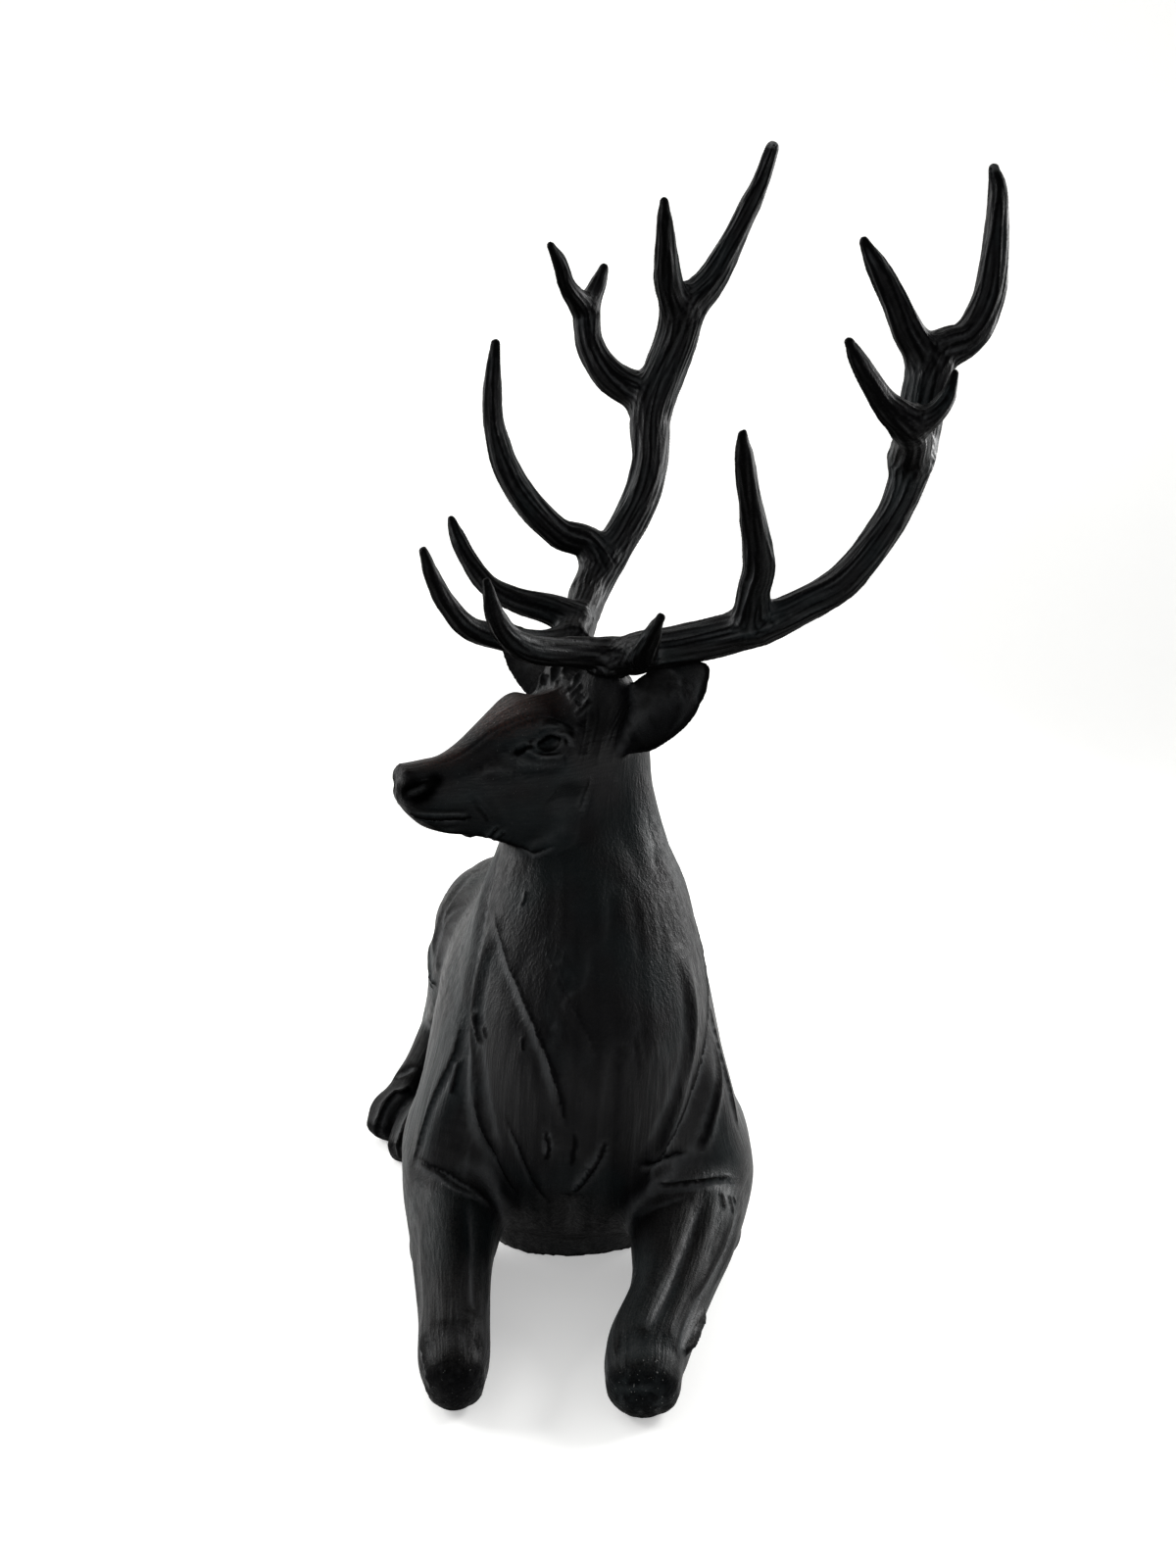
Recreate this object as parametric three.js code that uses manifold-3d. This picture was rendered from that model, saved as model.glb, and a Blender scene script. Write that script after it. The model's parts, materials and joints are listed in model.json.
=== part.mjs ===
// A cast iron stag, about three quarters of life size, lying down with its head raised and turned to its right.
// Millimetres, +Z up. The stag faces -Y, its left side is +X, and the ground is Z = 0 under the brisket.
// Three castings make it: the body with the head and legs, and two antlers that sit on the head's pedicles.
import * as THREE from "three";
import { LoftGeometry } from "three/addons/geometries/LoftGeometry.js";
import { mergeVertices } from "three/addons/utils/BufferGeometryUtils.js";
import Module from "manifold-3d";

// ---- Driving dimensions ----

const HEAD_PLACE = [26, 0, 843]; // midway between the antler burrs
const HEAD_TURN = -59; // degrees about Z, to the stag's right
const HEAD_ROLL = 13; // degrees, the left side lower
const SEAM = 0.4; // gap left between an antler's foot and its pedicle
const GROUND_DEPTH = 200; // how far below the ground the flat underside is cut away

// Sides of each kind of section, and rings for each span between two stations.
const TRUNK = { sides: 20, steps: 2 };
const LEG = { sides: 12, steps: 2 };
const SMALL = { sides: 10, steps: 1 };
const ANTLER = { sides: 10, steps: 2 };
const TINE = { sides: 8, steps: 1 };

// A station is [x, y, z, half width, half height]: one section of a limb. The height is measured along
// the limb's own up direction, square to its run, and the width across it.

// ---- Trunk and neck: the run goes from the breast to the rump, and from the chest to the skull ----

const TORSO = [
  [14, -20, 232, 150, 190], // buried in the chest
  [14, 70, 246, 194, 258], // behind the shoulders, the deepest section
  [10, 210, 240, 190, 252],
  [4, 360, 222, 178, 234], // loin
  [2, 500, 212, 168, 222],
  [4, 620, 208, 160, 220], // croup
  [8, 730, 206, 136, 196],
  [10, 812, 208, 88, 146], // buttocks
];
const NECK = [
  [10, 60, -12, 105, 75], // brisket
  [11, 58, 20, 128, 98],
  [12, 58, 70, 150, 143],
  [14, 50, 140, 172, 200],
  [15, 40, 220, 172, 228],
  [19, 36, 310, 174, 236], // breast, the furthest forward
  [24, 30, 400, 172, 218],
  [26, 26, 505, 148, 152],
  [29, 34, 600, 112, 84],
  [38, 36, 680, 84, 58],
  [46, 38, 740, 66, 50],
  [58, 40, 785, 52, 44],
  [64, 42, 815, 30, 32], // buried in the back of the skull
];

// ---- Forelegs: folded, the forearm forward from the elbow, the cannon and hoof back along the ground ----

const FOREARM = {
  right: [
    [-168, 20, 150, 62, 95],
    [-160, -70, 110, 68, 78],
    [-165, -170, 86, 53, 64],
    [-166, -270, 62, 46, 50],
    [-168, -345, 46, 44, 46], // knee
    [-168, -374, 40, 38, 40],
  ],
  left: [
    [180, 10, 150, 76, 95],
    [160, -70, 114, 84, 82],
    [138, -160, 92, 70, 66],
    [106, -262, 68, 51, 54],
    [64, -358, 48, 50, 48], // knee
    [53, -406, 38, 46, 40],
  ],
};
const CANNON = {
  right: [
    [-168, -345, 34, 32, 32],
    [-176, -240, 30, 25, 28],
    [-184, -130, 32, 27, 30], // fetlock
    [-188, -70, 34, 25, 28],
  ],
  left: [
    [78, -350, 34, 34, 32],
    [124, -240, 32, 26, 28],
    [166, -140, 38, 28, 31], // fetlock
    [190, -85, 44, 28, 30],
  ],
};
const FORE_HOOF = {
  right: [
    [-188, -80, 34, 27, 28],
    [-192, -30, 30, 32, 30],
    [-195, 30, 18, 22, 16],
  ],
  left: [
    [190, -95, 46, 29, 30],
    [208, -48, 50, 33, 36],
    [216, 6, 34, 22, 24],
  ],
};

// ---- Shoulders and upper arms, one each side of the chest ----

const SHOULDER = {
  right: [
    [-70, 150, 430, 45, 40],
    [-104, 80, 350, 58, 82],
    [-136, 10, 260, 64, 108],
    [-158, -20, 185, 64, 100],
    [-168, -10, 120, 54, 78],
  ],
  left: [
    [88, 150, 430, 45, 40],
    [130, 80, 350, 62, 84],
    [156, 10, 260, 66, 108],
    [172, -20, 185, 68, 100],
    [190, -10, 118, 66, 80],
  ],
};

// ---- Hind legs: the trunk is rolled on to its left haunch, so the right thigh is uppermost ----

const THIGH = {
  right: [
    [-20, 690, 236, 110, 130],
    [-60, 600, 280, 108, 128], // hip
    [-92, 510, 308, 92, 110],
    [-119, 436, 324, 65, 76], // stifle
    [-128, 405, 326, 43, 52],
  ],
  left: [
    [60, 690, 170, 120, 160],
    [110, 600, 150, 104, 150],
    [140, 500, 128, 92, 120],
    [158, 420, 104, 66, 84],
    [162, 385, 96, 44, 56],
  ],
};
const SHANK = {
  right: [
    [-132, 420, 306, 52, 62],
    [-144, 472, 246, 48, 60],
    [-156, 560, 176, 40, 50],
    [-166, 640, 124, 35, 44], // hock
    [-168, 672, 108, 28, 36],
  ],
  left: [
    [164, 400, 76, 60, 60],
    [176, 500, 58, 52, 56],
    [160, 610, 48, 40, 46],
    [130, 700, 44, 34, 42],
    [118, 722, 42, 28, 36],
  ],
};
const HIND_FOOT = {
  right: [
    [-166, 660, 108, 34, 38],
    [-184, 590, 98, 30, 34],
    [-208, 500, 84, 27, 30],
    [-227, 440, 72, 29, 31], // fetlock
    [-241, 408, 57, 28, 29],
  ],
  left: [
    [-60, 520, 60, 32, 36],
    [-124, 450, 58, 30, 34],
    [-176, 392, 58, 31, 34],
    [-198, 366, 50, 29, 31],
  ],
};
const HIND_HOOF = {
  right: [
    [-236, 416, 58, 30, 31],
    [-255, 398, 42, 36, 33],
    [-271, 382, 22, 28, 25],
  ],
  left: [
    [-196, 368, 52, 31, 34],
    [-216, 334, 38, 36, 34],
    [-235, 300, 20, 29, 25],
  ],
};
const TAIL = [
  [10, 800, 320, 30, 30],
  [12, 838, 296, 30, 22],
  [14, 856, 248, 26, 18],
  [14, 852, 206, 16, 12],
];

// ---- Head, in its own frame: X to its left, Y to its back, Z up, from the point between the burrs ----

const HEAD_SECTIONS = [
  // y, then x and z of ridge, socket, cheek and jaw on the left, then z of the middle: top and bottom
  [-271, 9, -127, 14, -136, 16, -146, 9, -158, -126, -160],
  [-265, 13, -121, 22, -133, 24, -148, 16, -168, -120, -172],
  [-252, 14, -121, 27, -132, 31, -152, 23, -182, -118, -188],
  [-230, 14, -119, 30, -133, 36, -158, 28, -198, -116, -207],
  [-205, 13, -115, 31, -133, 39, -163, 31, -208, -111, -217],
  [-178, 15, -101, 33, -124, 43, -162, 34, -213, -98, -223],
  [-150, 19, -80, 36, -108, 48, -157, 40, -218, -76, -231],
  [-124, 29, -65, 41, -96, 54, -152, 47, -226, -60, -238],
  [-100, 40, -55, 46, -84, 59, -147, 53, -234, -50, -246],
  [-78, 46, -54, 51, -86, 63, -143, 56, -238, -45, -250],
  [-55, 52, -68, 59, -96, 66, -142, 58, -240, -41, -253],
  [-28, 53, -56, 62, -92, 68, -143, 59, -240, -34, -254],
  [4, 55, -42, 63, -86, 68, -145, 58, -236, -28, -250],
  [42, 48, -50, 58, -90, 63, -145, 50, -222, -36, -235],
  [76, 34, -82, 45, -106, 50, -140, 40, -195, -68, -205],
  [102, 18, -104, 28, -118, 31, -138, 22, -164, -96, -172],
];
const HEAD_SIDES = 20; // round each section of the head
const POLL = [
  [-46, 14, -42, 36, 30], // the ridge that carries both pedicles
  [0, 12, -36, 42, 32],
  [46, 14, -42, 36, 30],
];
const EAR = {
  left: { root: [58, 28, -92], tip: [162, 66, 40], lean: [0.45, -1, 0.3] },
  right: { root: [-56, 12, -84], tip: [-152, -34, 0], lean: [-0.3, -1, 0.3] },
};
const EAR_SHAPE = [
  [0, 26, 18], // share of the length, half width, half thickness
  [0.18, 34, 12],
  [0.42, 42, 8],
  [0.68, 36, 7],
  [0.88, 20, 6],
  [1, 6, 4],
];

// ---- Antlers, in the head's frame: [x, y, z, radius] along each beam and tine ----

const ANTLERS = {
  left: {
    beam: [
      [40, 2, 8, 24],
      [86, 13, 38, 24],
      [124, 50, 57, 25],
      [184, 116, 98, 25],
      [218, 155, 133, 22],
      [247, 192, 176, 22],
      [266, 232, 262, 20],
      [263, 248, 342, 25],
      [240, 276, 440, 26],
      [256, 308, 472, 21],
      [255, 328, 506, 19],
      [245, 342, 548, 17],
      [215, 358, 630, 12],
      [198, 358, 664, 6],
    ],
    brow: [
      [50, -2, 24, 20],
      [44, -48, 28, 20],
      [47, -99, 35, 18],
      [51, -140, 46, 17],
      [54, -174, 68, 14],
      [60, -199, 100, 11],
      [70, -220, 140, 5],
    ],
    bez: [
      [88, 14, 36, 20],
      [128, -13, 51, 16],
      [175, -45, 93, 12],
      [230, -82, 137, 5],
    ],
    trez: [
      [178, 112, 98, 23],
      [197, 90, 148, 20],
      [210, 76, 192, 19],
      [232, 20, 280, 13],
      [245, -9, 324, 10],
      [257, -30, 356, 5],
    ],
    fork: [
      [240, 272, 436, 22],
      [224, 238, 473, 18],
      [212, 215, 507, 15],
      [200, 190, 540, 12],
      [190, 170, 566, 6],
    ],
    crown: [
      [264, 244, 330, 24],
      [298, 200, 364, 23],
      [320, 156, 386, 21],
      [312, 123, 407, 15],
      [303, 82, 448, 10],
      [299, 66, 467, 5],
    ],
    spur: [
      [318, 166, 380, 17],
      [340, 178, 396, 13],
      [345, 192, 418, 10],
      [344, 197, 444, 5],
    ],
  },
  right: {
    beam: [
      [-39, 6, 8, 24],
      [-66, 30, 17, 23],
      [-104, 64, 27, 24],
      [-151, 113, 52, 27],
      [-174, 189, 148, 25],
      [-199, 222, 208, 25],
      [-236, 243, 280, 29],
      [-238, 268, 365, 29],
      [-230, 274, 423, 28],
      [-213, 302, 476, 20],
      [-197, 338, 587, 13],
      [-193, 352, 650, 9],
    ],
    brow: [
      [-44, 10, 12, 20],
      [-47, -45, 9, 18],
      [-53, -99, 20, 17],
      [-61, -148, 34, 15],
      [-67, -181, 65, 12],
      [-68, -206, 100, 10],
      [-69, -223, 135, 6],
    ],
    bez: [
      [-76, 36, 24, 24],
      [-99, 3, 37, 20],
      [-132, -32, 42, 16],
      [-161, -56, 54, 14],
      [-190, -72, 80, 12],
      [-213, -82, 109, 10],
      [-228, -85, 130, 5],
    ],
    trez: [
      [-156, 130, 74, 23],
      [-178, 112, 104, 23],
      [-193, 74, 115, 21],
      [-215, 34, 150, 20],
      [-235, 3, 194, 18],
      [-248, -17, 249, 14],
      [-252, -25, 303, 12],
      [-253, -27, 361, 6],
    ],
    fork: [
      [-233, 268, 412, 22],
      [-226, 232, 456, 20],
      [-202, 192, 528, 12],
      [-184, 169, 565, 6],
    ],
    crown: [
      [-258, 236, 296, 26],
      [-290, 198, 318, 23],
      [-314, 176, 356, 19],
      [-328, 169, 398, 18],
      [-317, 125, 433, 12],
      [-303, 97, 465, 10],
      [-294, 72, 488, 5],
    ],
    spur: [
      [-328, 170, 402, 15],
      [-335, 191, 437, 11],
      [-341, 202, 458, 7],
    ],
  },
};
const BURR = { radius: 32, height: 9, knobs: 7, knobDepth: 2.5 }; // the ring where an antler meets the head
const PEDICLE = { radius: 25, flare: 1.3, depth: 60 }; // the stump of the skull under a burr
const BURR_SEAT = { left: [40, 2, 0], right: [-39, 6, -1] };

// ---- Solids ----

const wasm = await Module();
wasm.setup();

// A closed geometry as a manifold-3d solid, optionally moved by a matrix first.
function solid(geometry, matrix) {
  const bare = new THREE.BufferGeometry();
  bare.setAttribute("position", geometry.getAttribute("position").clone());
  bare.setIndex(geometry.getIndex());
  if (matrix) bare.applyMatrix4(matrix);
  const merged = mergeVertices(bare, 1e-4);
  return new wasm.Manifold(
    new wasm.Mesh({
      numProp: 3,
      vertProperties: merged.attributes.position.array,
      triVerts: new Uint32Array(merged.index.array),
    }),
  );
}

// One ring of a section: a rounded outline that is fuller than an ellipse when its power is over 2.
function ring(centre, tangent, up, halfWidth, halfHeight, sides, power) {
  const rise = up.clone().addScaledVector(tangent, -up.dot(tangent)).normalize();
  const side = rise.clone().cross(tangent);
  const points = [];
  for (let i = 0; i < sides; i++) {
    const angle = (2 * Math.PI * i) / sides;
    const [c, s] = [Math.cos(angle), Math.sin(angle)];
    const across = halfWidth * Math.sign(c) * Math.abs(c) ** (2 / power);
    const along = halfHeight * Math.sign(s) * Math.abs(s) ** (2 / power);
    points.push(centre.clone().addScaledVector(side, across).addScaledVector(rise, along));
  }
  return points;
}

// A limb through its stations, smooth along its run, with a domed cap at each end.
function limb(stations, { sides, steps }, { up = [0, 0, 1], power = 2.3, dome = 0.6 } = {}) {
  const vector = new THREE.Vector3(...up);
  const spans = stations.length - 1;
  const path = new THREE.CatmullRomCurve3(stations.map(([x, y, z]) => new THREE.Vector3(x, y, z)));
  const girth = new THREE.SplineCurve(stations.map(([, , , w, h]) => new THREE.Vector2(w, h ?? w)));
  const rings = [];
  const place = (t, scale, push) => {
    const tangent = path.getTangent(t);
    const size = girth.getPoint(t).multiplyScalar(scale);
    const centre = path.getPoint(t).addScaledVector(tangent, push);
    rings.push(ring(centre, tangent, vector, size.x, size.y, sides, power));
  };
  const reach = (t) => dome * Math.min(...girth.getPoint(t).toArray());
  const domeRings = [75, 40]; // degrees round from the end of the dome
  const bow = (degrees) => [Math.cos((degrees * Math.PI) / 180), Math.sin((degrees * Math.PI) / 180)];
  for (const degrees of domeRings) {
    const [scale, push] = bow(degrees);
    place(0, scale, -push * reach(0));
  }
  for (let i = 0; i <= spans * steps; i++) place(i / (spans * steps), 1, 0);
  for (const degrees of domeRings.toReversed()) {
    const [scale, push] = bow(degrees);
    place(1, scale, push * reach(1));
  }
  return solid(new LoftGeometry(rings, { closed: true, capStart: true, capEnd: true }));
}

const union = (solids) => solids.reduce((sum, next) => sum.add(next));

// An ear is a leaf from root to tip, broad side on to its lean.
function ear({ root, tip, lean }) {
  const [from, to] = [new THREE.Vector3(...root), new THREE.Vector3(...tip)];
  const stations = EAR_SHAPE.map(([share, width, thickness]) => [
    ...from.clone().lerp(to, share).toArray(),
    width,
    thickness,
  ]);
  return limb(stations, SMALL, { up: lean, power: 2 });
}

// The skull is lofted through sections that stand square to its run, each mirrored about the middle.
function skull() {
  const rings = HEAD_SECTIONS.map(([y, ...section]) => {
    const [top, bottom] = section.slice(8);
    const left = [0, 2, 4, 6].map((i) => new THREE.Vector3(section[i], y, section[i + 1]));
    const right = left.map(({ x, z }) => new THREE.Vector3(-x, y, z)).reverse();
    const outline = [new THREE.Vector3(0, y, top), ...left, new THREE.Vector3(0, y, bottom), ...right];
    const round = new THREE.CatmullRomCurve3(outline, true, "catmullrom");
    return round.getPoints(HEAD_SIDES).slice(0, HEAD_SIDES);
  });
  return solid(new LoftGeometry(rings, { closed: true, capStart: true, capEnd: true }));
}

function head() {
  const parts = [
    skull(),
    limb(POLL, SMALL),
    ear(EAR.left),
    ear(EAR.right),
  ];
  for (const [x, y, z] of Object.values(BURR_SEAT)) {
    const stump = new THREE.CylinderGeometry(PEDICLE.radius, PEDICLE.radius * PEDICLE.flare, PEDICLE.depth, 14);
    const upright = new THREE.Matrix4().makeRotationX(Math.PI / 2);
    upright.setPosition(x, y, z - PEDICLE.depth / 2);
    parts.push(solid(stump, upright));
  }
  return union(parts);
}

function body(headPose) {
  const parts = [
    limb(TORSO, TRUNK, { power: 2.4 }),
    limb(NECK, TRUNK, { up: [0, -1, 0], power: 2.2, dome: 0.3 }),
    limb(TAIL, SMALL, { up: [0, 1, 0.3] }),
    head().transform(headPose.toArray()),
  ];
  for (const side of ["left", "right"]) {
    parts.push(
      limb(SHOULDER[side], LEG, { up: [0, -1, 0.2] }),
      limb(FOREARM[side], LEG, { dome: 0.9 }),
      limb(CANNON[side], SMALL),
      limb(FORE_HOOF[side], SMALL, { power: 3 }),
      limb(THIGH[side], LEG),
      limb(SHANK[side], LEG, { up: [0, 0.6, 1] }),
      limb(HIND_FOOT[side], SMALL),
      limb(HIND_HOOF[side], SMALL, { power: 3 }),
    );
  }
  const ground = new THREE.BoxGeometry(2000, 3000, GROUND_DEPTH);
  ground.translate(0, 0, -GROUND_DEPTH / 2);
  return union(parts).subtract(solid(ground));
}

// The burr is a low ring with knobs round its rim, flat below where it sits on its pedicle.
function burr([x, y, z]) {
  const rim = new THREE.Shape();
  const corners = BURR.knobs * 2;
  for (let i = 0; i < corners; i++) {
    const angle = (2 * Math.PI * i) / corners;
    const radius = BURR.radius + (i % 2 ? -BURR.knobDepth : BURR.knobDepth);
    const corner = [radius * Math.cos(angle), radius * Math.sin(angle)];
    if (i === 0) rim.moveTo(...corner);
    else rim.lineTo(...corner);
  }
  rim.closePath();
  const plate = new THREE.ExtrudeGeometry(rim, { depth: BURR.height, bevelEnabled: false });
  return solid(plate, new THREE.Matrix4().makeTranslation(x, y, z + SEAM));
}

function antler(side) {
  const seat = BURR_SEAT[side];
  const { beam, ...tines } = ANTLERS[side];
  const parts = [limb(beam, ANTLER, { up: [0, -1, 0], power: 2, dome: 1 }), burr(seat)];
  for (const tine of Object.values(tines)) {
    parts.push(limb(tine, TINE, { up: [0.3, 0, 1], power: 2, dome: 1 }));
  }
  const below = new THREE.BoxGeometry(120, 120, 60);
  below.translate(seat[0], seat[1], seat[2] + SEAM - 30);
  return union(parts).subtract(solid(below));
}

// ---- Scene ----

const iron = () => new THREE.MeshStandardMaterial({ color: 0x1b1c1e, roughness: 0.55, metalness: 0.35 });

function named(name, manifold) {
  const { vertProperties, numProp, triVerts } = manifold.getMesh();
  const geometry = new THREE.BufferGeometry();
  geometry.setAttribute("position", new THREE.BufferAttribute(vertProperties, numProp));
  geometry.setIndex(new THREE.BufferAttribute(triVerts, 1));
  geometry.computeVertexNormals();
  const mesh = new THREE.Mesh(geometry, iron());
  mesh.name = name;
  return mesh;
}

const headGroup = new THREE.Group();
headGroup.position.set(...HEAD_PLACE);
headGroup.rotation.set(0, THREE.MathUtils.degToRad(HEAD_ROLL), THREE.MathUtils.degToRad(HEAD_TURN), "ZYX");
headGroup.updateMatrix();
headGroup.add(named("antler_left", antler("left")), named("antler_right", antler("right")));

const stag = new THREE.Group();
stag.add(named("stag_body", body(headGroup.matrix)), headGroup);

export default stag;
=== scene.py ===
# %% [markdown]
# # A cast iron stag
#
# The real object is a garden statue: a red deer stag, lying down with its head raised and turned
# to its right. A modeller pushed and scraped it in clay, a foundry took sand moulds from that
# pattern, and the castings were painted black. So every mark on the iron is a mark of the clay:
# soft masses that melt into each other, planes cut with a broad tool, and small nicks.
#
# The lesson follows the modeller. First the big masses are laid down along the limbs and melted
# together, then the tool strokes go on, and last comes the paint.

# %% Load the frame
import json
import math

import bmesh
import bpy
import numpy as np
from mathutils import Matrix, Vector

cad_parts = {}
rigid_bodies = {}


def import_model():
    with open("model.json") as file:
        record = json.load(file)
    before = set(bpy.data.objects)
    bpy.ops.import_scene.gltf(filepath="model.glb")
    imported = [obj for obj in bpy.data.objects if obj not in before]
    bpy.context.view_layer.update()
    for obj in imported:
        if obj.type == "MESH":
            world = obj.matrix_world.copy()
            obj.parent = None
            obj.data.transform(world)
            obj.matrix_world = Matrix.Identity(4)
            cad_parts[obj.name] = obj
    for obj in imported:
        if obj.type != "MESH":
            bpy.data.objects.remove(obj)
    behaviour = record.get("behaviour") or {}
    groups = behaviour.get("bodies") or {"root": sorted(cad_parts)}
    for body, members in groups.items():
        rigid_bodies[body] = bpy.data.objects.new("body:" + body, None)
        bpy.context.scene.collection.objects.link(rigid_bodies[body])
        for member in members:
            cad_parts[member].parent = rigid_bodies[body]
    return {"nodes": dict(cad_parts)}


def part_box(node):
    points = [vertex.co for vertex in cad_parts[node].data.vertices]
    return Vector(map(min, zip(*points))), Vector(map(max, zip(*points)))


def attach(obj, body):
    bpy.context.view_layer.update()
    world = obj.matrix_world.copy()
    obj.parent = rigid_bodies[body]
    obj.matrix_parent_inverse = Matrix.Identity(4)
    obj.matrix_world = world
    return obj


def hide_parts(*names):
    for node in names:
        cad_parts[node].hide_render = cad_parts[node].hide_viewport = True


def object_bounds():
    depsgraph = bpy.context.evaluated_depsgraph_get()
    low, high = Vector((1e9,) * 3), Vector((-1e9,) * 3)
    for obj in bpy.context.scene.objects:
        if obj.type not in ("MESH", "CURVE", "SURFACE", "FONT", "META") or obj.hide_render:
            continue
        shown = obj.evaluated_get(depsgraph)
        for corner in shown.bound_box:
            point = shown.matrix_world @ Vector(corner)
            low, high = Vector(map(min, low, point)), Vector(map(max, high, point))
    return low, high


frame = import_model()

import openvdb
from mathutils import Vector
from mathutils.kdtree import KDTree

CAD_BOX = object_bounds()
MM = 0.001  # the tables below are in millimetres, and everything made from them is in metres
print("frame:", sorted(frame["nodes"]), "box", [[round(x, 3) for x in corner] for corner in CAD_BOX])

# %% [markdown]
# ## The studio
#
# Black iron shows its shape only in what it reflects, so the light matters as much as the mesh.
# A pale floor that bends up into a pale wall gives one even reflection, and the paper glows a
# little, as if lit from behind, so that it reads as empty space. Two large soft lights stand at the
# sides, a little behind the stag, and draw its edges. A weak one over the back opens the top
# planes. Small hard lamps would break the soft highlights into dots.

# %% Camera
PORTRAIT_SENSOR = 36.0  # mm, along the long side of the picture
LENS = 37.1  # mm
LOOKS_DOWN = 12  # degrees below level
TURNED = -5.76  # degrees about Z
camera_data = bpy.data.cameras.new("studio_camera")
camera_data.sensor_width = PORTRAIT_SENSOR
camera_data.lens = LENS
camera = bpy.data.objects.new("studio_camera", camera_data)
camera.location = (-0.184, -2.108, 1.125)
camera.rotation_euler = (math.radians(90 - LOOKS_DOWN), 0, math.radians(TURNED))
bpy.context.scene.collection.objects.link(camera)
bpy.context.scene.camera = camera
print("camera at", tuple(round(x, 3) for x in camera.location))


# %% Colours and nodes
def linear(hex_colour):
    """An sRGB hex colour as linear RGBA."""
    channels = [int(hex_colour[i : i + 2], 16) / 255 for i in (1, 3, 5)]
    return [c / 12.92 if c <= 0.04045 else ((c + 0.055) / 1.055) ** 2.4 for c in channels] + [1.0]


def add(tree, kind, inputs=None, **settings):
    """Adds a node with its own settings. Each input, by name or number, is a value or a socket."""
    node = tree.nodes.new(kind)
    for name, value in settings.items():
        setattr(node, name, value)
    for key, value in (inputs or {}).items():
        if isinstance(value, bpy.types.NodeSocket):
            tree.links.new(value, node.inputs[key])
        else:
            node.inputs[key].default_value = value
    return node


def new_material(name):
    """A material with only its output and a Principled shader in it."""
    material = bpy.data.materials.new(name)
    material.use_nodes = True
    tree = material.node_tree
    tree.nodes.clear()
    shader = add(tree, "ShaderNodeBsdfPrincipled")
    add(tree, "ShaderNodeOutputMaterial", {"Surface": shader.outputs[0]})
    return material, tree, shader


# %% Floor, wall and lights
def studio_paper():
    """Matt seamless paper, so pale that it reads as empty space."""
    material, _, shader = new_material("matt_seamless_paper")
    shader.inputs["Base Color"].default_value = linear("#f4f4f2")
    shader.inputs["Roughness"].default_value = 0.9
    shader.inputs["Specular IOR Level"].default_value = 0.1
    shader.inputs["Emission Color"].default_value = linear("#ffffff")
    shader.inputs["Emission Strength"].default_value = 0.4  # stands in for a paper lit from behind
    return material


def sweep(half_width, front, back, height, bend):
    """One sheet of paper: flat under the statue, bent up behind it."""
    profile = [(front, 0.0)]
    steps = 12
    for step in range(steps + 1):
        angle = math.radians(90 * step / steps)
        profile.append((back - bend + bend * math.sin(angle), bend - bend * math.cos(angle)))
    profile.append((back, height))
    vertices = [(x, y, z) for y, z in profile for x in (-half_width, half_width)]
    faces = [(2 * i, 2 * i + 1, 2 * i + 3, 2 * i + 2) for i in range(len(profile) - 1)]
    mesh = bpy.data.meshes.new("paper_sweep")
    mesh.from_pydata(vertices, [], faces)
    mesh.shade_smooth()
    mesh.materials.append(studio_paper())
    return bpy.data.objects.new("paper_sweep", mesh)


def soft_box(name, place, aim, size, watts):
    """A square area light that points at a spot."""
    light = bpy.data.lights.new(name, "AREA")
    light.size = size
    light.energy = watts
    lamp = bpy.data.objects.new(name, light)
    lamp.location = place
    lamp.rotation_euler = (Vector(aim) - Vector(place)).to_track_quat("-Z", "Y").to_euler()
    bpy.context.scene.collection.objects.link(lamp)


paper = sweep(half_width=6.0, front=-6.0, back=4.5, height=6.0, bend=1.5)
bpy.context.scene.collection.objects.link(paper)
BREAST = (0.02, 0.0, 0.6)
soft_box("light_over_back", (-1.2, 1.7, 2.9), BREAST, size=1.8, watts=22)
soft_box("light_left", (-2.7, 1.0, 1.5), BREAST, size=1.6, watts=85)
soft_box("light_right", (2.6, 1.1, 1.5), BREAST, size=1.6, watts=110)
world = bpy.data.worlds.new("pale_room")
world.use_nodes = True
room = world.node_tree.nodes["Background"]
room.inputs["Color"].default_value = linear("#ffffff")
room.inputs["Strength"].default_value = 0.36
bpy.context.scene.world = world
bpy.context.scene.view_settings.view_transform = "Standard"
print("studio: one sweep of paper, three soft lights")

# %% [markdown]
# ## Limbs as lofts
#
# A modeller thinks of an animal as limbs: a line through the middle, and a girth at each place
# along it. That is also a good way to type one in. Each row of a table is one station, and a
# smooth curve is drawn through the stations. The other ways are box modelling, which hides the
# sizes in mouse moves, and metaballs, which can't make a flat flank or a sharp shin.


# %% A smooth line and a limb
def smooth_line(stations, steps):
    """A curve through every station (Catmull-Rom), with so many steps from one to the next."""
    p = np.asarray(stations, float)
    p = np.vstack([2 * p[0] - p[1], p, 2 * p[-1] - p[-2]])
    t = (np.arange(steps) / steps)[:, None]
    spans = [
        b + 0.5 * t * (c - a + t * (2 * a - 5 * b + 4 * c - d + t * (3 * (b - c) + d - a)))
        for a, b, c, d in zip(p, p[1:], p[2:], p[3:])
    ]
    return np.vstack(spans + [p[-2:-1]])


def unit(vectors):
    """The same directions, one long."""
    return vectors / np.maximum(np.linalg.norm(vectors, axis=-1, keepdims=True), 1e-12)


GROUND = (np.zeros(3), np.eye(3))  # the frame of the body: an origin, and the axes as columns


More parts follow.
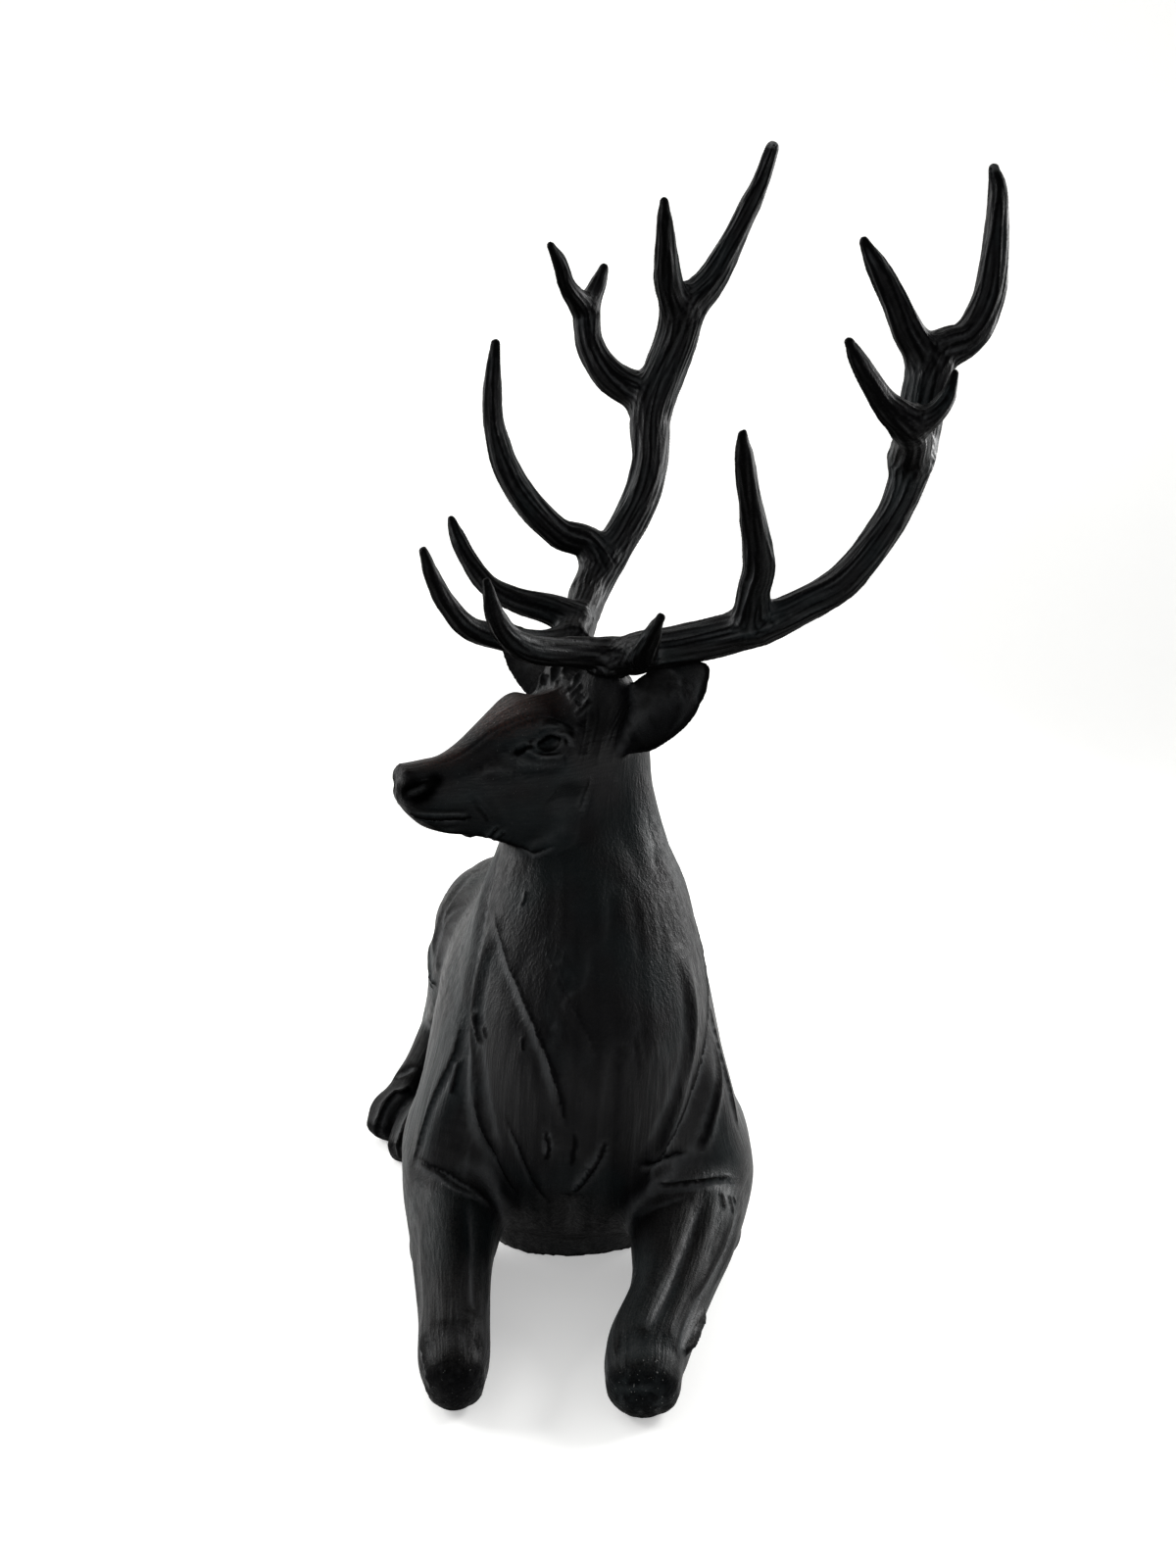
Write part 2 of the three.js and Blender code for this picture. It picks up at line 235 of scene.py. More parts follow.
def limb(stations, up=(0, 0, 1), power=2.3, dome=0.6, sides=48, steps=8, frame_of=GROUND):
    """A loft through the stations [x, y, z, half width, half height], with a dome on each end.

    It returns its rings of points, and the middle line with the directions of its sections. A power
    of 2 makes its sections ellipses, and a higher one makes them squarer.
    """

    def bend(wave):
        return np.sign(wave) * np.abs(wave) ** (2 / power)

    origin, axes = frame_of
    rows = smooth_line(np.asarray(stations, float) * MM, steps)
    middle, girth = rows[:, :3], rows[:, 3:]
    run = unit(np.gradient(middle, axis=0))
    up = np.asarray(up, float)
    rise = unit(up - (run @ up)[:, None] * run)
    side = np.cross(rise, run)
    angles = 2 * np.pi * np.arange(sides) / sides
    ends = np.radians([80, 65, 50, 35, 20])  # degrees round each dome, from its tip
    order = [(0, -a) for a in ends] + [(i, 0.0) for i in range(len(rows))] + [(-1, a) for a in ends[::-1]]
    rings = []
    for i, angle in order:
        size = girth[i] * math.cos(angle)
        centre = middle[i] + run[i] * math.sin(angle) * dome * girth[i].min()
        across = np.outer(bend(np.cos(angles)) * size[0], side[i])
        rings.append(centre + across + np.outer(bend(np.sin(angles)) * size[1], rise[i]))
    spine = {"middle": origin + middle @ axes.T, "run": run @ axes.T, "girth": girth}
    spine["side"], spine["rise"] = side @ axes.T, rise @ axes.T
    return origin + np.array(rings) @ axes.T, spine


def closed(rings):
    """Points, quads and triangles of a closed tube through rings of points."""
    count, sides = rings.shape[:2]
    tips = [rings[0].mean(0), rings[-1].mean(0)]
    ring, turn = np.meshgrid(np.arange(count - 1), np.arange(sides), indexing="ij")
    a, b = ring * sides + turn, ring * sides + (turn + 1) % sides
    quads = np.stack([a, b, b + sides, a + sides], -1).reshape(-1, 4)
    k = np.arange(sides)
    start = np.stack([np.full(sides, count * sides), (k + 1) % sides, k], 1)
    last = (count - 1) * sides
    end = np.stack([np.full(sides, count * sides + 1), last + k, last + (k + 1) % sides], 1)
    return np.vstack([rings.reshape(-1, 3), tips]), quads, np.vstack([start, end])


# %% [markdown]
# ## The masses of the body
#
# The chest, the neck and the legs are lofts like these. The forelegs are folded, with the cannon
# lying back under the forearm. The hips are rolled on to the left haunch, so the right thigh is
# the upper one. All tables are [x, y, z, half width, half height], with the stag facing -Y and
# its left side on +X.

# %% Tables of the body
TORSO = [
    [14, -20, 232, 150, 190],
    [14, 70, 246, 194, 258],
    [10, 210, 240, 190, 252],
    [4, 360, 222, 178, 234],
    [2, 500, 212, 168, 222],
    [4, 620, 208, 160, 220],
    [8, 730, 206, 136, 196],
    [10, 812, 208, 88, 146],
]
NECK = [
    [10, 60, -12, 105, 75],
    [11, 58, 20, 128, 98],
    [12, 58, 70, 150, 143],
    [14, 50, 140, 172, 200],
    [15, 40, 220, 172, 228],
    [19, 36, 310, 174, 236],
    [24, 30, 400, 172, 218],
    [26, 26, 505, 148, 152],
    [29, 34, 600, 112, 84],
    [38, 36, 680, 84, 58],
    [46, 38, 740, 66, 50],
    [58, 40, 785, 52, 44],
    [64, 42, 815, 30, 32],
]
TAIL = [
    [10, 800, 320, 30, 30],
    [12, 838, 296, 30, 22],
    [14, 856, 248, 26, 18],
    [14, 852, 206, 16, 12],
]
FORE = {
    "right": {
        "shoulder": [
            [-70, 150, 430, 45, 40],
            [-104, 80, 350, 58, 82],
            [-136, 10, 260, 64, 108],
            [-158, -20, 185, 64, 100],
            [-168, -10, 120, 54, 78],
        ],
        "forearm": [
            [-168, 20, 150, 62, 95],
            [-160, -70, 110, 68, 78],
            [-165, -170, 86, 53, 64],
            [-166, -270, 62, 46, 50],
            [-168, -345, 46, 44, 46],
            [-168, -374, 40, 38, 40],
        ],
        "cannon": [
            [-168, -345, 34, 32, 32],
            [-176, -240, 30, 25, 28],
            [-184, -130, 32, 27, 30],
            [-188, -70, 34, 25, 28],
        ],
        "hoof": [
            [-188, -80, 34, 27, 28],
            [-192, -30, 30, 32, 30],
            [-195, 30, 18, 22, 16],
        ],
    },
    "left": {
        "shoulder": [
            [88, 150, 430, 45, 40],
            [130, 80, 350, 62, 84],
            [156, 10, 260, 66, 108],
            [172, -20, 185, 68, 100],
            [190, -10, 118, 66, 80],
        ],
        "forearm": [
            [180, 10, 150, 76, 95],
            [160, -70, 114, 84, 82],
            [138, -160, 92, 70, 66],
            [106, -262, 68, 51, 54],
            [64, -358, 48, 50, 48],
            [53, -406, 38, 46, 40],
        ],
        "cannon": [
            [78, -350, 34, 34, 32],
            [124, -240, 32, 26, 28],
            [166, -140, 38, 28, 31],
            [190, -85, 44, 28, 30],
        ],
        "hoof": [
            [190, -95, 46, 29, 30],
            [208, -48, 50, 33, 36],
            [216, 6, 34, 22, 24],
        ],
    },
}
HIND = {
    "right": {
        "thigh": [
            [-20, 690, 236, 110, 130],
            [-60, 600, 280, 108, 128],
            [-92, 510, 308, 92, 110],
            [-119, 436, 324, 65, 76],
            [-128, 405, 326, 43, 52],
        ],
        "shank": [
            [-132, 420, 306, 52, 62],
            [-144, 472, 246, 48, 60],
            [-156, 560, 176, 40, 50],
            [-166, 640, 124, 35, 44],
            [-168, 672, 108, 28, 36],
        ],
        "foot": [
            [-166, 660, 108, 34, 38],
            [-184, 590, 98, 30, 34],
            [-208, 500, 84, 27, 30],
            [-227, 440, 72, 29, 31],
            [-241, 408, 57, 28, 29],
        ],
        "hoof": [
            [-236, 416, 58, 30, 31],
            [-255, 398, 42, 36, 33],
            [-271, 382, 22, 28, 25],
        ],
    },
    "left": {
        "thigh": [
            [60, 690, 170, 120, 160],
            [110, 600, 150, 104, 150],
            [140, 500, 128, 92, 120],
            [158, 420, 104, 66, 84],
            [162, 385, 96, 44, 56],
        ],
        "shank": [
            [164, 400, 76, 60, 60],
            [176, 500, 58, 52, 56],
            [160, 610, 48, 40, 46],
            [130, 700, 44, 34, 42],
            [118, 722, 42, 28, 36],
        ],
        "foot": [
            [-60, 520, 60, 32, 36],
            [-124, 450, 58, 30, 34],
            [-176, 392, 58, 31, 34],
            [-198, 366, 50, 29, 31],
        ],
        "hoof": [
            [-196, 368, 52, 31, 34],
            [-216, 334, 38, 36, 34],
            [-235, 300, 20, 29, 25],
        ],
    },
}

# %% [markdown]
# ## The head
#
# The head has its own frame, as a carver holds a head on its own bench: X to its left, Y to its
# back, Z up, from the point between the antlers. Two turns then put it on the neck, one to the
# stag's right and one that lowers its left side. The skull is one loft from the nose to the poll.
# Its sections are not ellipses: each has corners at the brow's ridge, the eye socket, the cheek and
# the jaw, so the long planes of the face run from section to section, as a modeller cuts them.

# %% Tables of the head
HEAD_PLACE = [26, 0, 843]
HEAD_TURN = -59  # degrees about Z, to the stag's right
HEAD_ROLL = 13  # degrees, the left side lower


def head_frame():
    """The head's origin and its axes."""
    turn, roll = math.radians(HEAD_TURN), math.radians(HEAD_ROLL)
    about_z = [[math.cos(turn), -math.sin(turn), 0], [math.sin(turn), math.cos(turn), 0], [0, 0, 1]]
    about_y = [[math.cos(roll), 0, math.sin(roll)], [0, 1, 0], [-math.sin(roll), 0, math.cos(roll)]]
    return np.array(HEAD_PLACE) * MM, np.array(about_z) @ np.array(about_y)


HEAD = head_frame()
# y, then x and z of the ridge, the socket, the cheek and the jaw, then z of the middle: top, bottom
HEAD_SECTIONS = [
    [-271, 9, -127, 14, -136, 16, -146, 9, -158, -126, -160],
    [-265, 13, -121, 22, -133, 24, -148, 16, -168, -120, -172],
    [-252, 14, -121, 27, -132, 31, -152, 23, -182, -118, -188],
    [-230, 14, -119, 30, -133, 36, -158, 28, -198, -116, -207],
    [-205, 13, -115, 31, -133, 39, -163, 31, -208, -111, -217],
    [-178, 15, -101, 33, -124, 43, -162, 34, -213, -98, -223],
    [-150, 19, -80, 36, -108, 48, -157, 40, -218, -76, -231],
    [-124, 29, -65, 41, -96, 54, -152, 47, -226, -60, -238],
    [-100, 40, -55, 46, -84, 59, -147, 53, -234, -50, -246],
    [-78, 46, -54, 51, -86, 63, -143, 56, -238, -45, -250],
    [-55, 52, -68, 59, -96, 66, -142, 58, -240, -41, -253],
    [-28, 53, -56, 62, -92, 68, -143, 59, -240, -34, -254],
    [4, 55, -42, 63, -86, 68, -145, 58, -236, -28, -250],
    [42, 48, -50, 58, -90, 63, -145, 50, -222, -36, -235],
    [76, 34, -82, 45, -106, 50, -140, 40, -195, -68, -205],
    [102, 18, -104, 28, -118, 31, -138, 22, -164, -96, -172],
]
POLL = [
    [-46, 14, -42, 36, 30],
    [0, 12, -36, 42, 32],
    [46, 14, -42, 36, 30],
]
PEDICLE = {"left": [40, 2, 0], "right": [-39, 6, -1]}  # top of each stump, under its burr
EARS = {
    "left": {"root": [58, 28, -92], "tip": [162, 66, 40], "opens": [0.45, -1, 0.3]},
    "right": {"root": [-56, 12, -84], "tip": [-152, -34, 0], "opens": [-0.3, -1, 0.3]},
}
SOCKET = [
    [46, -110, -93, 6, 5],
    [57, -97, -88, 12, 11],
    [63, -81, -86, 15, 14],
    [66, -64, -88, 11, 11],
    [66, -53, -94, 6, 6],
]
EYEBALL = [
    [44, -84, -87, 17, 17],
    [45, -81, -87, 17, 17],
    [44, -78, -87, 17, 17],
]
NOSTRIL = [
    [15, -276, -149, 5, 4],
    [22, -268, -149, 10, 8],
    [28, -256, -145, 12, 9],
    [32, -244, -136, 9, 8],
    [33, -233, -127, 5, 4],
]
MOUTH = [
    [14, -262, -181, 7, 2.5],
    [25, -249, -184, 8, 3],
    [34, -227, -187, 8, 3.5],
    [40, -205, -188, 8, 4.5],
    [43, -185, -188, 5, 3],
]
EAR_LEAF = [  # share of the length, half width, thickness, depth of the cup
    [-0.06, 20, 16, 2],
    [0.08, 30, 8, 12],
    [0.22, 40, 4, 20],
    [0.42, 44, 2, 20],
    [0.64, 40, 1, 15],
    [0.82, 28, 1, 9],
    [0.94, 14, 1, 3],
    [1.0, 4, 1, 0],
]
EAR_RIM = 3  # half the thickness of the rim


def mirrored(stations, sign):
    """The stations as they are, or on the other side of the head."""
    return [[sign * x, *rest] for x, *rest in stations]


def ear_rings(ear, turn_steps=24):
    """A leaf that is hollowed on the side where it opens."""
    root, tip = np.array(ear["root"], float), np.array(ear["tip"], float)
    run = unit(tip - root)
    opens = np.array(ear["opens"], float)
    opens = unit(opens - (opens @ run) * run)
    across = np.cross(opens, run)
    u = np.cos(np.pi * np.arange(turn_steps) / turn_steps)  # from one edge towards the other
    rings = []
    for share, width, thickness, cup in smooth_line(EAR_LEAF, 4):
        bowl = -cup * (1 - u**2)
        front = np.outer(u * width, across) + np.outer(bowl, opens)
        back = np.outer(-u * width, across) + np.outer(bowl - thickness * np.sqrt(1 - u**2), opens)
        rings.append(root + (tip - root) * share + np.vstack([front, back]))
    origin, axes = HEAD
    return origin + np.array(rings) * MM @ axes.T


def head_rings(steps=6, spans=5, cut=0.55):
    """The skull. Each section is a mean of its straight outline, by a share of cut, and its round one."""
    rings = []
    for row in smooth_line(HEAD_SECTIONS, steps):
        y, (top, bottom) = row[0], row[9:]
        half = row[1:9].reshape(4, 2)
        outline = np.vstack([[0, top], half, [0, bottom], half[::-1] * [-1, 1], [0, top]])
        around = smooth_line(outline, spans)[:-1]
        corners = len(outline) - 1
        share = np.linspace(0, corners, len(around), endpoint=False)
        straight = np.stack([np.interp(share, np.arange(corners + 1), outline[:, k]) for k in (0, 1)], 1)
        x, z = (cut * straight + (1 - cut) * around).T
        rings.append(np.stack([x, np.full(len(x), y), z], 1))
    origin, axes = HEAD
    return origin + np.array(rings) * MM @ axes.T


# %% [markdown]
# ## Melting the masses together
#
# Where a leg meets the chest, clay has no seam: it is smeared into a hollow. A boolean union
# would leave a hard crease there. Distances do it better. Every mass is turned into a grid of
# distances to its surface, and two grids are joined by a minimum that is rounded where both are
# close to zero. How far it rounds is the radius of the smear, so each joint gets its own.


# %% A field of distances
class Field:
    """Distances to a surface on a grid of points, below zero inside it."""

    def __init__(self, low, high, voxel, band):
        self.voxel, self.band = voxel, band
        self.first = np.floor((np.asarray(low) - band) / voxel).astype(int)
        last = np.ceil((np.asarray(high) + band) / voxel).astype(int)
        self.values = np.full(last - self.first + 1, band, np.float32)

    def distances(self, rings):
        """A closed mass's own distances, and the window of the grid that they fill."""
        points, quads, triangles = rings if isinstance(rings, tuple) else closed(rings)
        place = openvdb.createLinearTransform(self.voxel)
        grid = openvdb.FloatGrid.createLevelSetFromPolygons(
            points.astype(np.float32),
            triangles=triangles.astype(np.uint32),
            quads=quads.astype(np.uint32),
            transform=place,
            halfWidth=self.band / self.voxel,
        )
        low = np.floor((points.min(0) - self.band) / self.voxel).astype(int)
        high = np.ceil((points.max(0) + self.band) / self.voxel).astype(int)
        low, high = np.maximum(low, self.first), np.minimum(high, self.first + self.values.shape)
        part = np.empty(high - low, np.float32)
        grid.copyToArray(part, ijk=tuple(int(i) for i in low))
        window = tuple(slice(a, b) for a, b in zip(low - self.first, high - self.first))
        return part, window

    def melt(self, rings, smear, grow=0.0):
        """Joins a mass on, grown by so much, with a hollow of about this radius where it meets the rest."""
        part, window = self.distances(rings)
        part -= grow
        here = self.values[window]
        close = np.clip(smear - np.abs(here - part), 0, None)
        self.values[window] = np.minimum(here, part) - close**2 / (4 * smear)

    def hollow(self, rings, soften):
        """Takes a mass away, with its rim rounded over."""
        part, window = self.distances(rings)
        here = self.values[window]
        close = np.clip(soften - np.abs(here + part), 0, None)
        self.values[window] = np.maximum(here, -part) + close**2 / (4 * soften)

    def skin(self):
        """The surface where the distance is zero, as points and quads."""
        grid = openvdb.FloatGrid(self.band)
        grid.copyFromArray(self.values, ijk=tuple(int(i) for i in self.first))
        grid.transform = openvdb.createLinearTransform(self.voxel)
        points, quads = grid.convertToQuads(0.0)
        return np.array(points, float), np.array(quads)[:, ::-1]


# %% Lay down the body
VOXEL = 0.0035  # one step of the grid
BAND = 0.05  # how far from a surface its distances are kept
ABOVE_THE_EARS = 1.0  # the body reaches no higher
body_field = Field(CAD_BOX[0], (CAD_BOX[1][0], CAD_BOX[1][1], ABOVE_THE_EARS), VOXEL, BAND)
spines = []


def lay(stations, smear, **how):
    """Melts a limb on to the body, and keeps its spine for the comb that follows it."""
    rings, spine = limb(stations, **how)
    body_field.melt(rings, smear * MM)
    spines.append(spine)


lay(TORSO, 40, power=2.4)
lay(NECK, 40, up=(0, -1, 0), power=2.2, dome=0.3)
lay(TAIL, 16, up=(0, 1, 0.3))
for side in ("left", "right"):
    lay(FORE[side]["shoulder"], 34, up=(0, -1, 0.2))
    lay(HIND[side]["thigh"], 30)
    lay(FORE[side]["forearm"], 26, dome=0.9)
    lay(HIND[side]["shank"], 14, up=(0, 0.6, 1))
    lay(HIND[side]["foot"], 9)
    lay(FORE[side]["cannon"], 8)
    lay(FORE[side]["hoof"], 8, power=3)
    lay(HIND[side]["hoof"], 8, power=3)
body_field.melt(head_rings(), 24 * MM)
SKULL_LINE = [  # the head's spine
    [0, 90, -130, 40, 60],
    [0, 0, -140, 66, 104],
    [0, -120, -150, 54, 88],
    [0, -262, -146, 26, 30],
]
spines.append(limb(SKULL_LINE, frame_of=HEAD)[1])
lay(POLL, 16, frame_of=HEAD)
for side in ("left", "right"):
    x, y, z = PEDICLE[side]
    stump = [
        [0.7 * x, y, z - 95, 20, 20],
        [0.85 * x, y, z - 60, 30, 32],
        [x, y, z - 25, 29, 29],
        [x, y, z - 2, 26, 26],
    ]
    lay(stump, 22, up=(0, -1, 0), power=2, dome=0.05, frame_of=HEAD)
    body_field.melt(ear_rings(EARS[side]), 8 * MM, grow=EAR_RIM * MM)

for sign in (1, -1):
    for hole, rim in ((SOCKET, 7), (NOSTRIL, 4), (MOUTH, 3)):
        body_field.hollow(limb(mirrored(hole, sign), up=(0, 0.2, 1), power=2, frame_of=HEAD)[0], rim * MM)
    body_field.melt(limb(mirrored(EYEBALL, sign), power=2, dome=1, frame_of=HEAD)[0], 2 * MM)

# The ground cuts the belly flat.
z_grid = (np.arange(body_field.values.shape[2]) + body_field.first[2]) * VOXEL
np.maximum(body_field.values, -z_grid.astype(np.float32), out=body_field.values)
points, quads = body_field.skin()
print("body laid down:", len(points), "points,", len(quads), "quads")

# %% [markdown]
# ## Tool strokes
#
# What makes it a modeller's stag is the surface: a brow cut with one sweep, folds of the mane laid
# over each other like wet cloth, nicks where a tool dug in. Each one is a stroke: a line of a few
# points that is pressed on to the surface, and a profile across it. A groove is pushed in, a ridge
# stands up, and a ledge does both, so that one side overlaps the other. Sculpting by hand in the
# viewport would be quicker, but it leaves nothing to read; a stroke in a table can be moved.


# %% Clay: points that can be pushed about
def finer(points, quads, wanted):
    """Splits the faces round the wanted points into four, and returns points and triangles."""
    mesh = bmesh.new()
    corners = [mesh.verts.new(p) for p in points]
    for quad in quads:
        mesh.faces.new([corners[i] for i in quad])
    mesh.verts.index_update()
    edges = [e for e in mesh.edges if wanted[e.verts[0].index] and wanted[e.verts[1].index]]
    bmesh.ops.subdivide_edges(mesh, edges=edges, cuts=1, use_grid_fill=True)
    bmesh.ops.triangulate(mesh, faces=mesh.faces)
    mesh.verts.index_update()
    result = (
        np.array([v.co for v in mesh.verts]),
        np.array([[v.index for v in f.verts] for f in mesh.faces]),
    )
    mesh.free()
    return result


LOOSE = 30 * MM  # a stroke's point is left out if it is further from the clay than this
BLOCK = 4000  # points measured at a time, to keep the memory small


class Clay:
    """A closed surface of points and triangles, and the ways to push its points about."""

    def __init__(self, points, triangles):
        self.points, self.triangles = points, triangles
        pairs = np.vstack([triangles[:, [0, 1]], triangles[:, [1, 2]], triangles[:, [2, 0]]])
        self.edges = pairs[pairs[:, 0] < pairs[:, 1]]
        self.normals = self.find_normals()
        self.tree = KDTree(len(points))
        for i, p in enumerate(points):
            self.tree.insert(p, i)
        self.tree.balance()

    def gather(self, where, values):
        """Adds values up at the points that where names."""
        columns = values.reshape(len(values), -1).T
        sums = [np.bincount(where, column, len(self.points)) for column in columns]
        return np.stack(sums, 1).reshape((len(self.points),) + values.shape[1:])

    def blur(self, values, rounds):
        """Evens values out between neighbours."""
        a, b = self.edges.T
        count = self.gather(a, np.ones(len(a))) + self.gather(b, np.ones(len(b))) + 1
        count = count.reshape((-1,) + (1,) * (values.ndim - 1))
        for _ in range(rounds):
            values = (values + self.gather(a, values[b]) + self.gather(b, values[a])) / count
        return values

    def find_normals(self):
        a, b, c = (self.points[self.triangles[:, i]] for i in range(3))
        facing = np.cross(b - a, c - a)
        total = sum(self.gather(self.triangles[:, i], facing) for i in range(3))
        return unit(total)

    def settle(self, rounds=3):
        """Finds the normals again, evened out, so that the next strokes push squarely."""
        self.normals = unit(self.blur(self.find_normals(), rounds))

    def press(self, line, frame_of):
        """A line of a few points, drawn smooth and laid on the surface: points, normals, runs."""
        origin, axes = frame_of
        rough = origin + np.asarray(line, float) * MM @ axes.T
        found = [self.tree.find(p) for p in rough]
        knots = np.array([self.points[i] for _, i, gap in found if gap < LOOSE])
        if len(knots) < 2:
            return None
        length = np.linalg.norm(np.diff(knots, axis=0), axis=1).sum()
        steps = max(2, int(length / (2 * MM) / (len(knots) - 1)))
        path = smooth_line(knots, steps)
        near = [self.tree.find(p)[1] for p in path]
        out = self.normals[near]
        path = path + out * ((self.points[near] - path) * out).sum(1, keepdims=True)
        even = np.ones(5) / 5  # a running mean over five places
        path = np.stack([np.convolve(np.pad(path[:, k], 2, mode="edge"), even, "valid") for k in range(3)], 1)
        return path, out, unit(np.gradient(path, axis=0))

    def near(self, path, reach):
        """Indices of the points in reach of a path, and the nearest place on it for each."""
        low, high = path.min(0) - reach, path.max(0) + reach
        chosen = np.where(((self.points > low) & (self.points < high)).all(1))[0]
        places = np.empty(len(chosen), int)
        for block in range(0, len(chosen), BLOCK):
            part = self.points[chosen[block : block + BLOCK]]
            places[block : block + BLOCK] = ((part[:, None] - path[None]) ** 2).sum(2).argmin(1)
        return chosen, places

    def stroke(self, line, width, depth, kind="groove", frame_of=GROUND, flip=False, ends=0.3):
        """Pushes the surface in or out along a line. Left of the run is the positive side."""
        pressed = self.press(line, frame_of)
        if pressed is None:
            print("a stroke has no place on the clay:", line[0])
            return
        path, out, run = pressed
        width, depth = width * MM, depth * MM
        chosen, place = self.near(path, width)
        offset = self.points[chosen] - path[place]
        across = (offset * np.cross(out, run)[place]).sum(1) / width
        away = np.abs((offset * out[place]).sum(1))
        beyond = np.abs((offset * run[place]).sum(1)) / width
        share = place / max(len(path) - 1, 1)
        fade = np.clip(np.minimum(share, 1 - share) / max(ends, 1e-3), 0, 1)
        fade = np.sin(fade * math.pi / 2) if ends else np.ones(len(share))
        fade = fade * np.clip(1 - beyond, 0, 1) * (away < 1.5 * width) * (np.abs(across) < 1)
        across = -across if flip else across
        push = PROFILES[kind](across) * fade * depth
        self.points[chosen] += self.normals[chosen] * push[:, None]


def hump(x):
    """A round hill from -1 to 1."""
    return (1 - x**2) ** 2


def ledge(x):
    """A step that stands up on the left and sinks, half as far, on the right."""
    raised = (1 - x) ** 2 * np.clip(3 * x, 0, 1)
    sunk = -0.5 * (1 + np.minimum(x, 0)) ** 2
    return np.where(x > 0, raised, sunk)


PROFILES = {  # across a stroke, from -1 on its right to 1 on its left
    "groove": lambda x: -hump(x),
    "ridge": hump,
    "ledge": ledge,
    "crest": lambda x: (1 - np.abs(x)) ** 2,
    "slit": lambda x: -np.clip(1.6 * hump(x), 0, 1),
}


def rise_over_neighbours(clay, rounds, full):
    """How far each point stands over the evened-out surface, from -1 to 1 at so many metres."""
    offset = clay.points - clay.blur(clay.points, rounds)
    return np.clip((offset * clay.find_normals()).sum(1) / full, -1, 1)


def in_head(points):
    """Points in the head's frame, in millimetres."""
    origin, axes = HEAD
    return (points - origin) @ axes / MM


# %% The first clay, with finer points on the head
FACE_MIDDLE, FACE_REACH = [0, -120, -130], 185
on_head = np.linalg.norm(in_head(points) - FACE_MIDDLE, axis=1) < FACE_REACH
points, triangles = finer(points, quads, on_head)
stag = Clay(points, triangles)
stag.settle()
print("clay:", len(stag.points), "points,", len(stag.triangles), "triangles")

# %% [markdown]
# ## The face
#
# The brow is the strongest line on the statue. It runs from the nose, over the eye and down
# behind it, and above it the forehead is one flat plane. The eye is a ball set into a hollow, with
# a lid laid over it and a tear duct that runs down to the nose. The face is symmetrical, so each
# stroke is made twice, the second time mirrored. A mirrored ledge has its sides swapped back.

# %% Strokes on the face: kind, width, depth, points in the head's frame
BROW_LINE = [
    [13, -251, -121],
    [13, -204, -114],
    [15, -175, -100],
    [19, -149, -80],
    [29, -124, -65],
    [40, -100, -55],
    [46, -80, -54],
    [53, -63, -66],
    [60, -46, -98],
]
TEAR_DUCT = [[41, -128, -103], [46, -116, -97], [52, -106, -92]]
LID_GAP = [[50, -105, -88], [57, -94, -76], [61, -80, -70], [64, -66, -74], [65, -56, -88]]
UPPER_LIP = [[14, -262, -172], [22, -252, -173], [33, -228, -177], [40, -200, -179], [43, -184, -179]]
LIPS_MEET = [[14, -262, -181], [25, -249, -184], [34, -227, -187], [40, -205, -188], [43, -186, -187]]
LOWER_LIP = [[10, -248, -192], [24, -232, -196], [33, -208, -199], [38, -188, -199]]
UPPER_LID = [
    [45, -114, -95],
    [50, -105, -86],
    [55, -96, -74],
    [59, -84, -67],
    [62, -70, -69],
    [65, -58, -80],
    [67, -52, -96],
]
JAW_EDGE = [[34, -150, -226], [46, -122, -234], [54, -86, -241], [58, -50, -245], [58, -10, -244]]
FACE = [
    ("crest", 8, 3, BROW_LINE),
    ("groove", 14, 2.5, [[28, -205, -136], [31, -175, -120], [36, -148, -106], [43, -122, -84]]),
    # the corner of the eye, and the bone under it
    ("groove", 8, 4, [[41, -128, -103], [46, -116, -97], [51, -108, -92]]),
    ("ridge", 15, 4.5, [[44, -126, -114], [54, -106, -117], [62, -82, -116], [66, -60, -112]]),
    ("ridge", 9, 1.5, UPPER_LIP),
    ("ridge", 9, 1.5, LOWER_LIP),
    ("slit", 5, 4.5, LIPS_MEET),
    # folds behind the corner of the mouth, and nicks in the chin
    ("groove", 13, 1.3, [[39, -196, -131], [46, -166, -158], [48, -147, -182], [44, -140, -205]]),
    ("groove", 7, 1.5, [[40, -190, -151], [45, -169, -170], [46, -152, -190]]),
    ("groove", 5, 1.8, [[41, -182, -164], [45, -166, -180], [45, -154, -196]]),
    ("slit", 4, 2.5, [[30, -152, -220], [36, -146, -209], [41, -139, -198]]),
    ("slit", 4, 2, [[34, -140, -226], [39, -134, -214], [43, -129, -206]]),
    ("groove", 9, 3, [[30, -170, -216], [22, -170, -224], [10, -170, -226]]),
    # the bone of the cheek, the hollow behind it and the jaw muscle
    ("ridge", 14, 2.5, [[40, -172, -118], [46, -150, -124], [52, -128, -128]]),
    ("groove", 4, 1.6, [[68, -20, -136], [70, -24, -160], [68, -28, -186]]),
    ("ridge", 30, 4, [[64, -72, -156], [70, -42, -172], [68, -14, -180]]),
    ("groove", 14, 4, [[52, -38, -62], [60, -34, -86], [66, -32, -108]]),
]
LIDS = [
    ("ridge", 6, 4, UPPER_LID),
    ("ridge", 6, 3.5, [[45, -114, -97], [52, -101, -104], [58, -86, -109], [62, -70, -107], [66, -54, -100]]),
    ("groove", 6, 3.5, [[52, -98, -64], [58, -80, -57], [66, -58, -62], [70, -44, -82]]),
]


def both_sides(strokes):
    """Makes each stroke on the left of the head and on the right."""
    for kind, width, depth, line in strokes:
        stag.stroke(line, width, depth, kind, frame_of=HEAD)
        stag.stroke(mirrored(line, -1), width, depth, kind, frame_of=HEAD, flip=True)


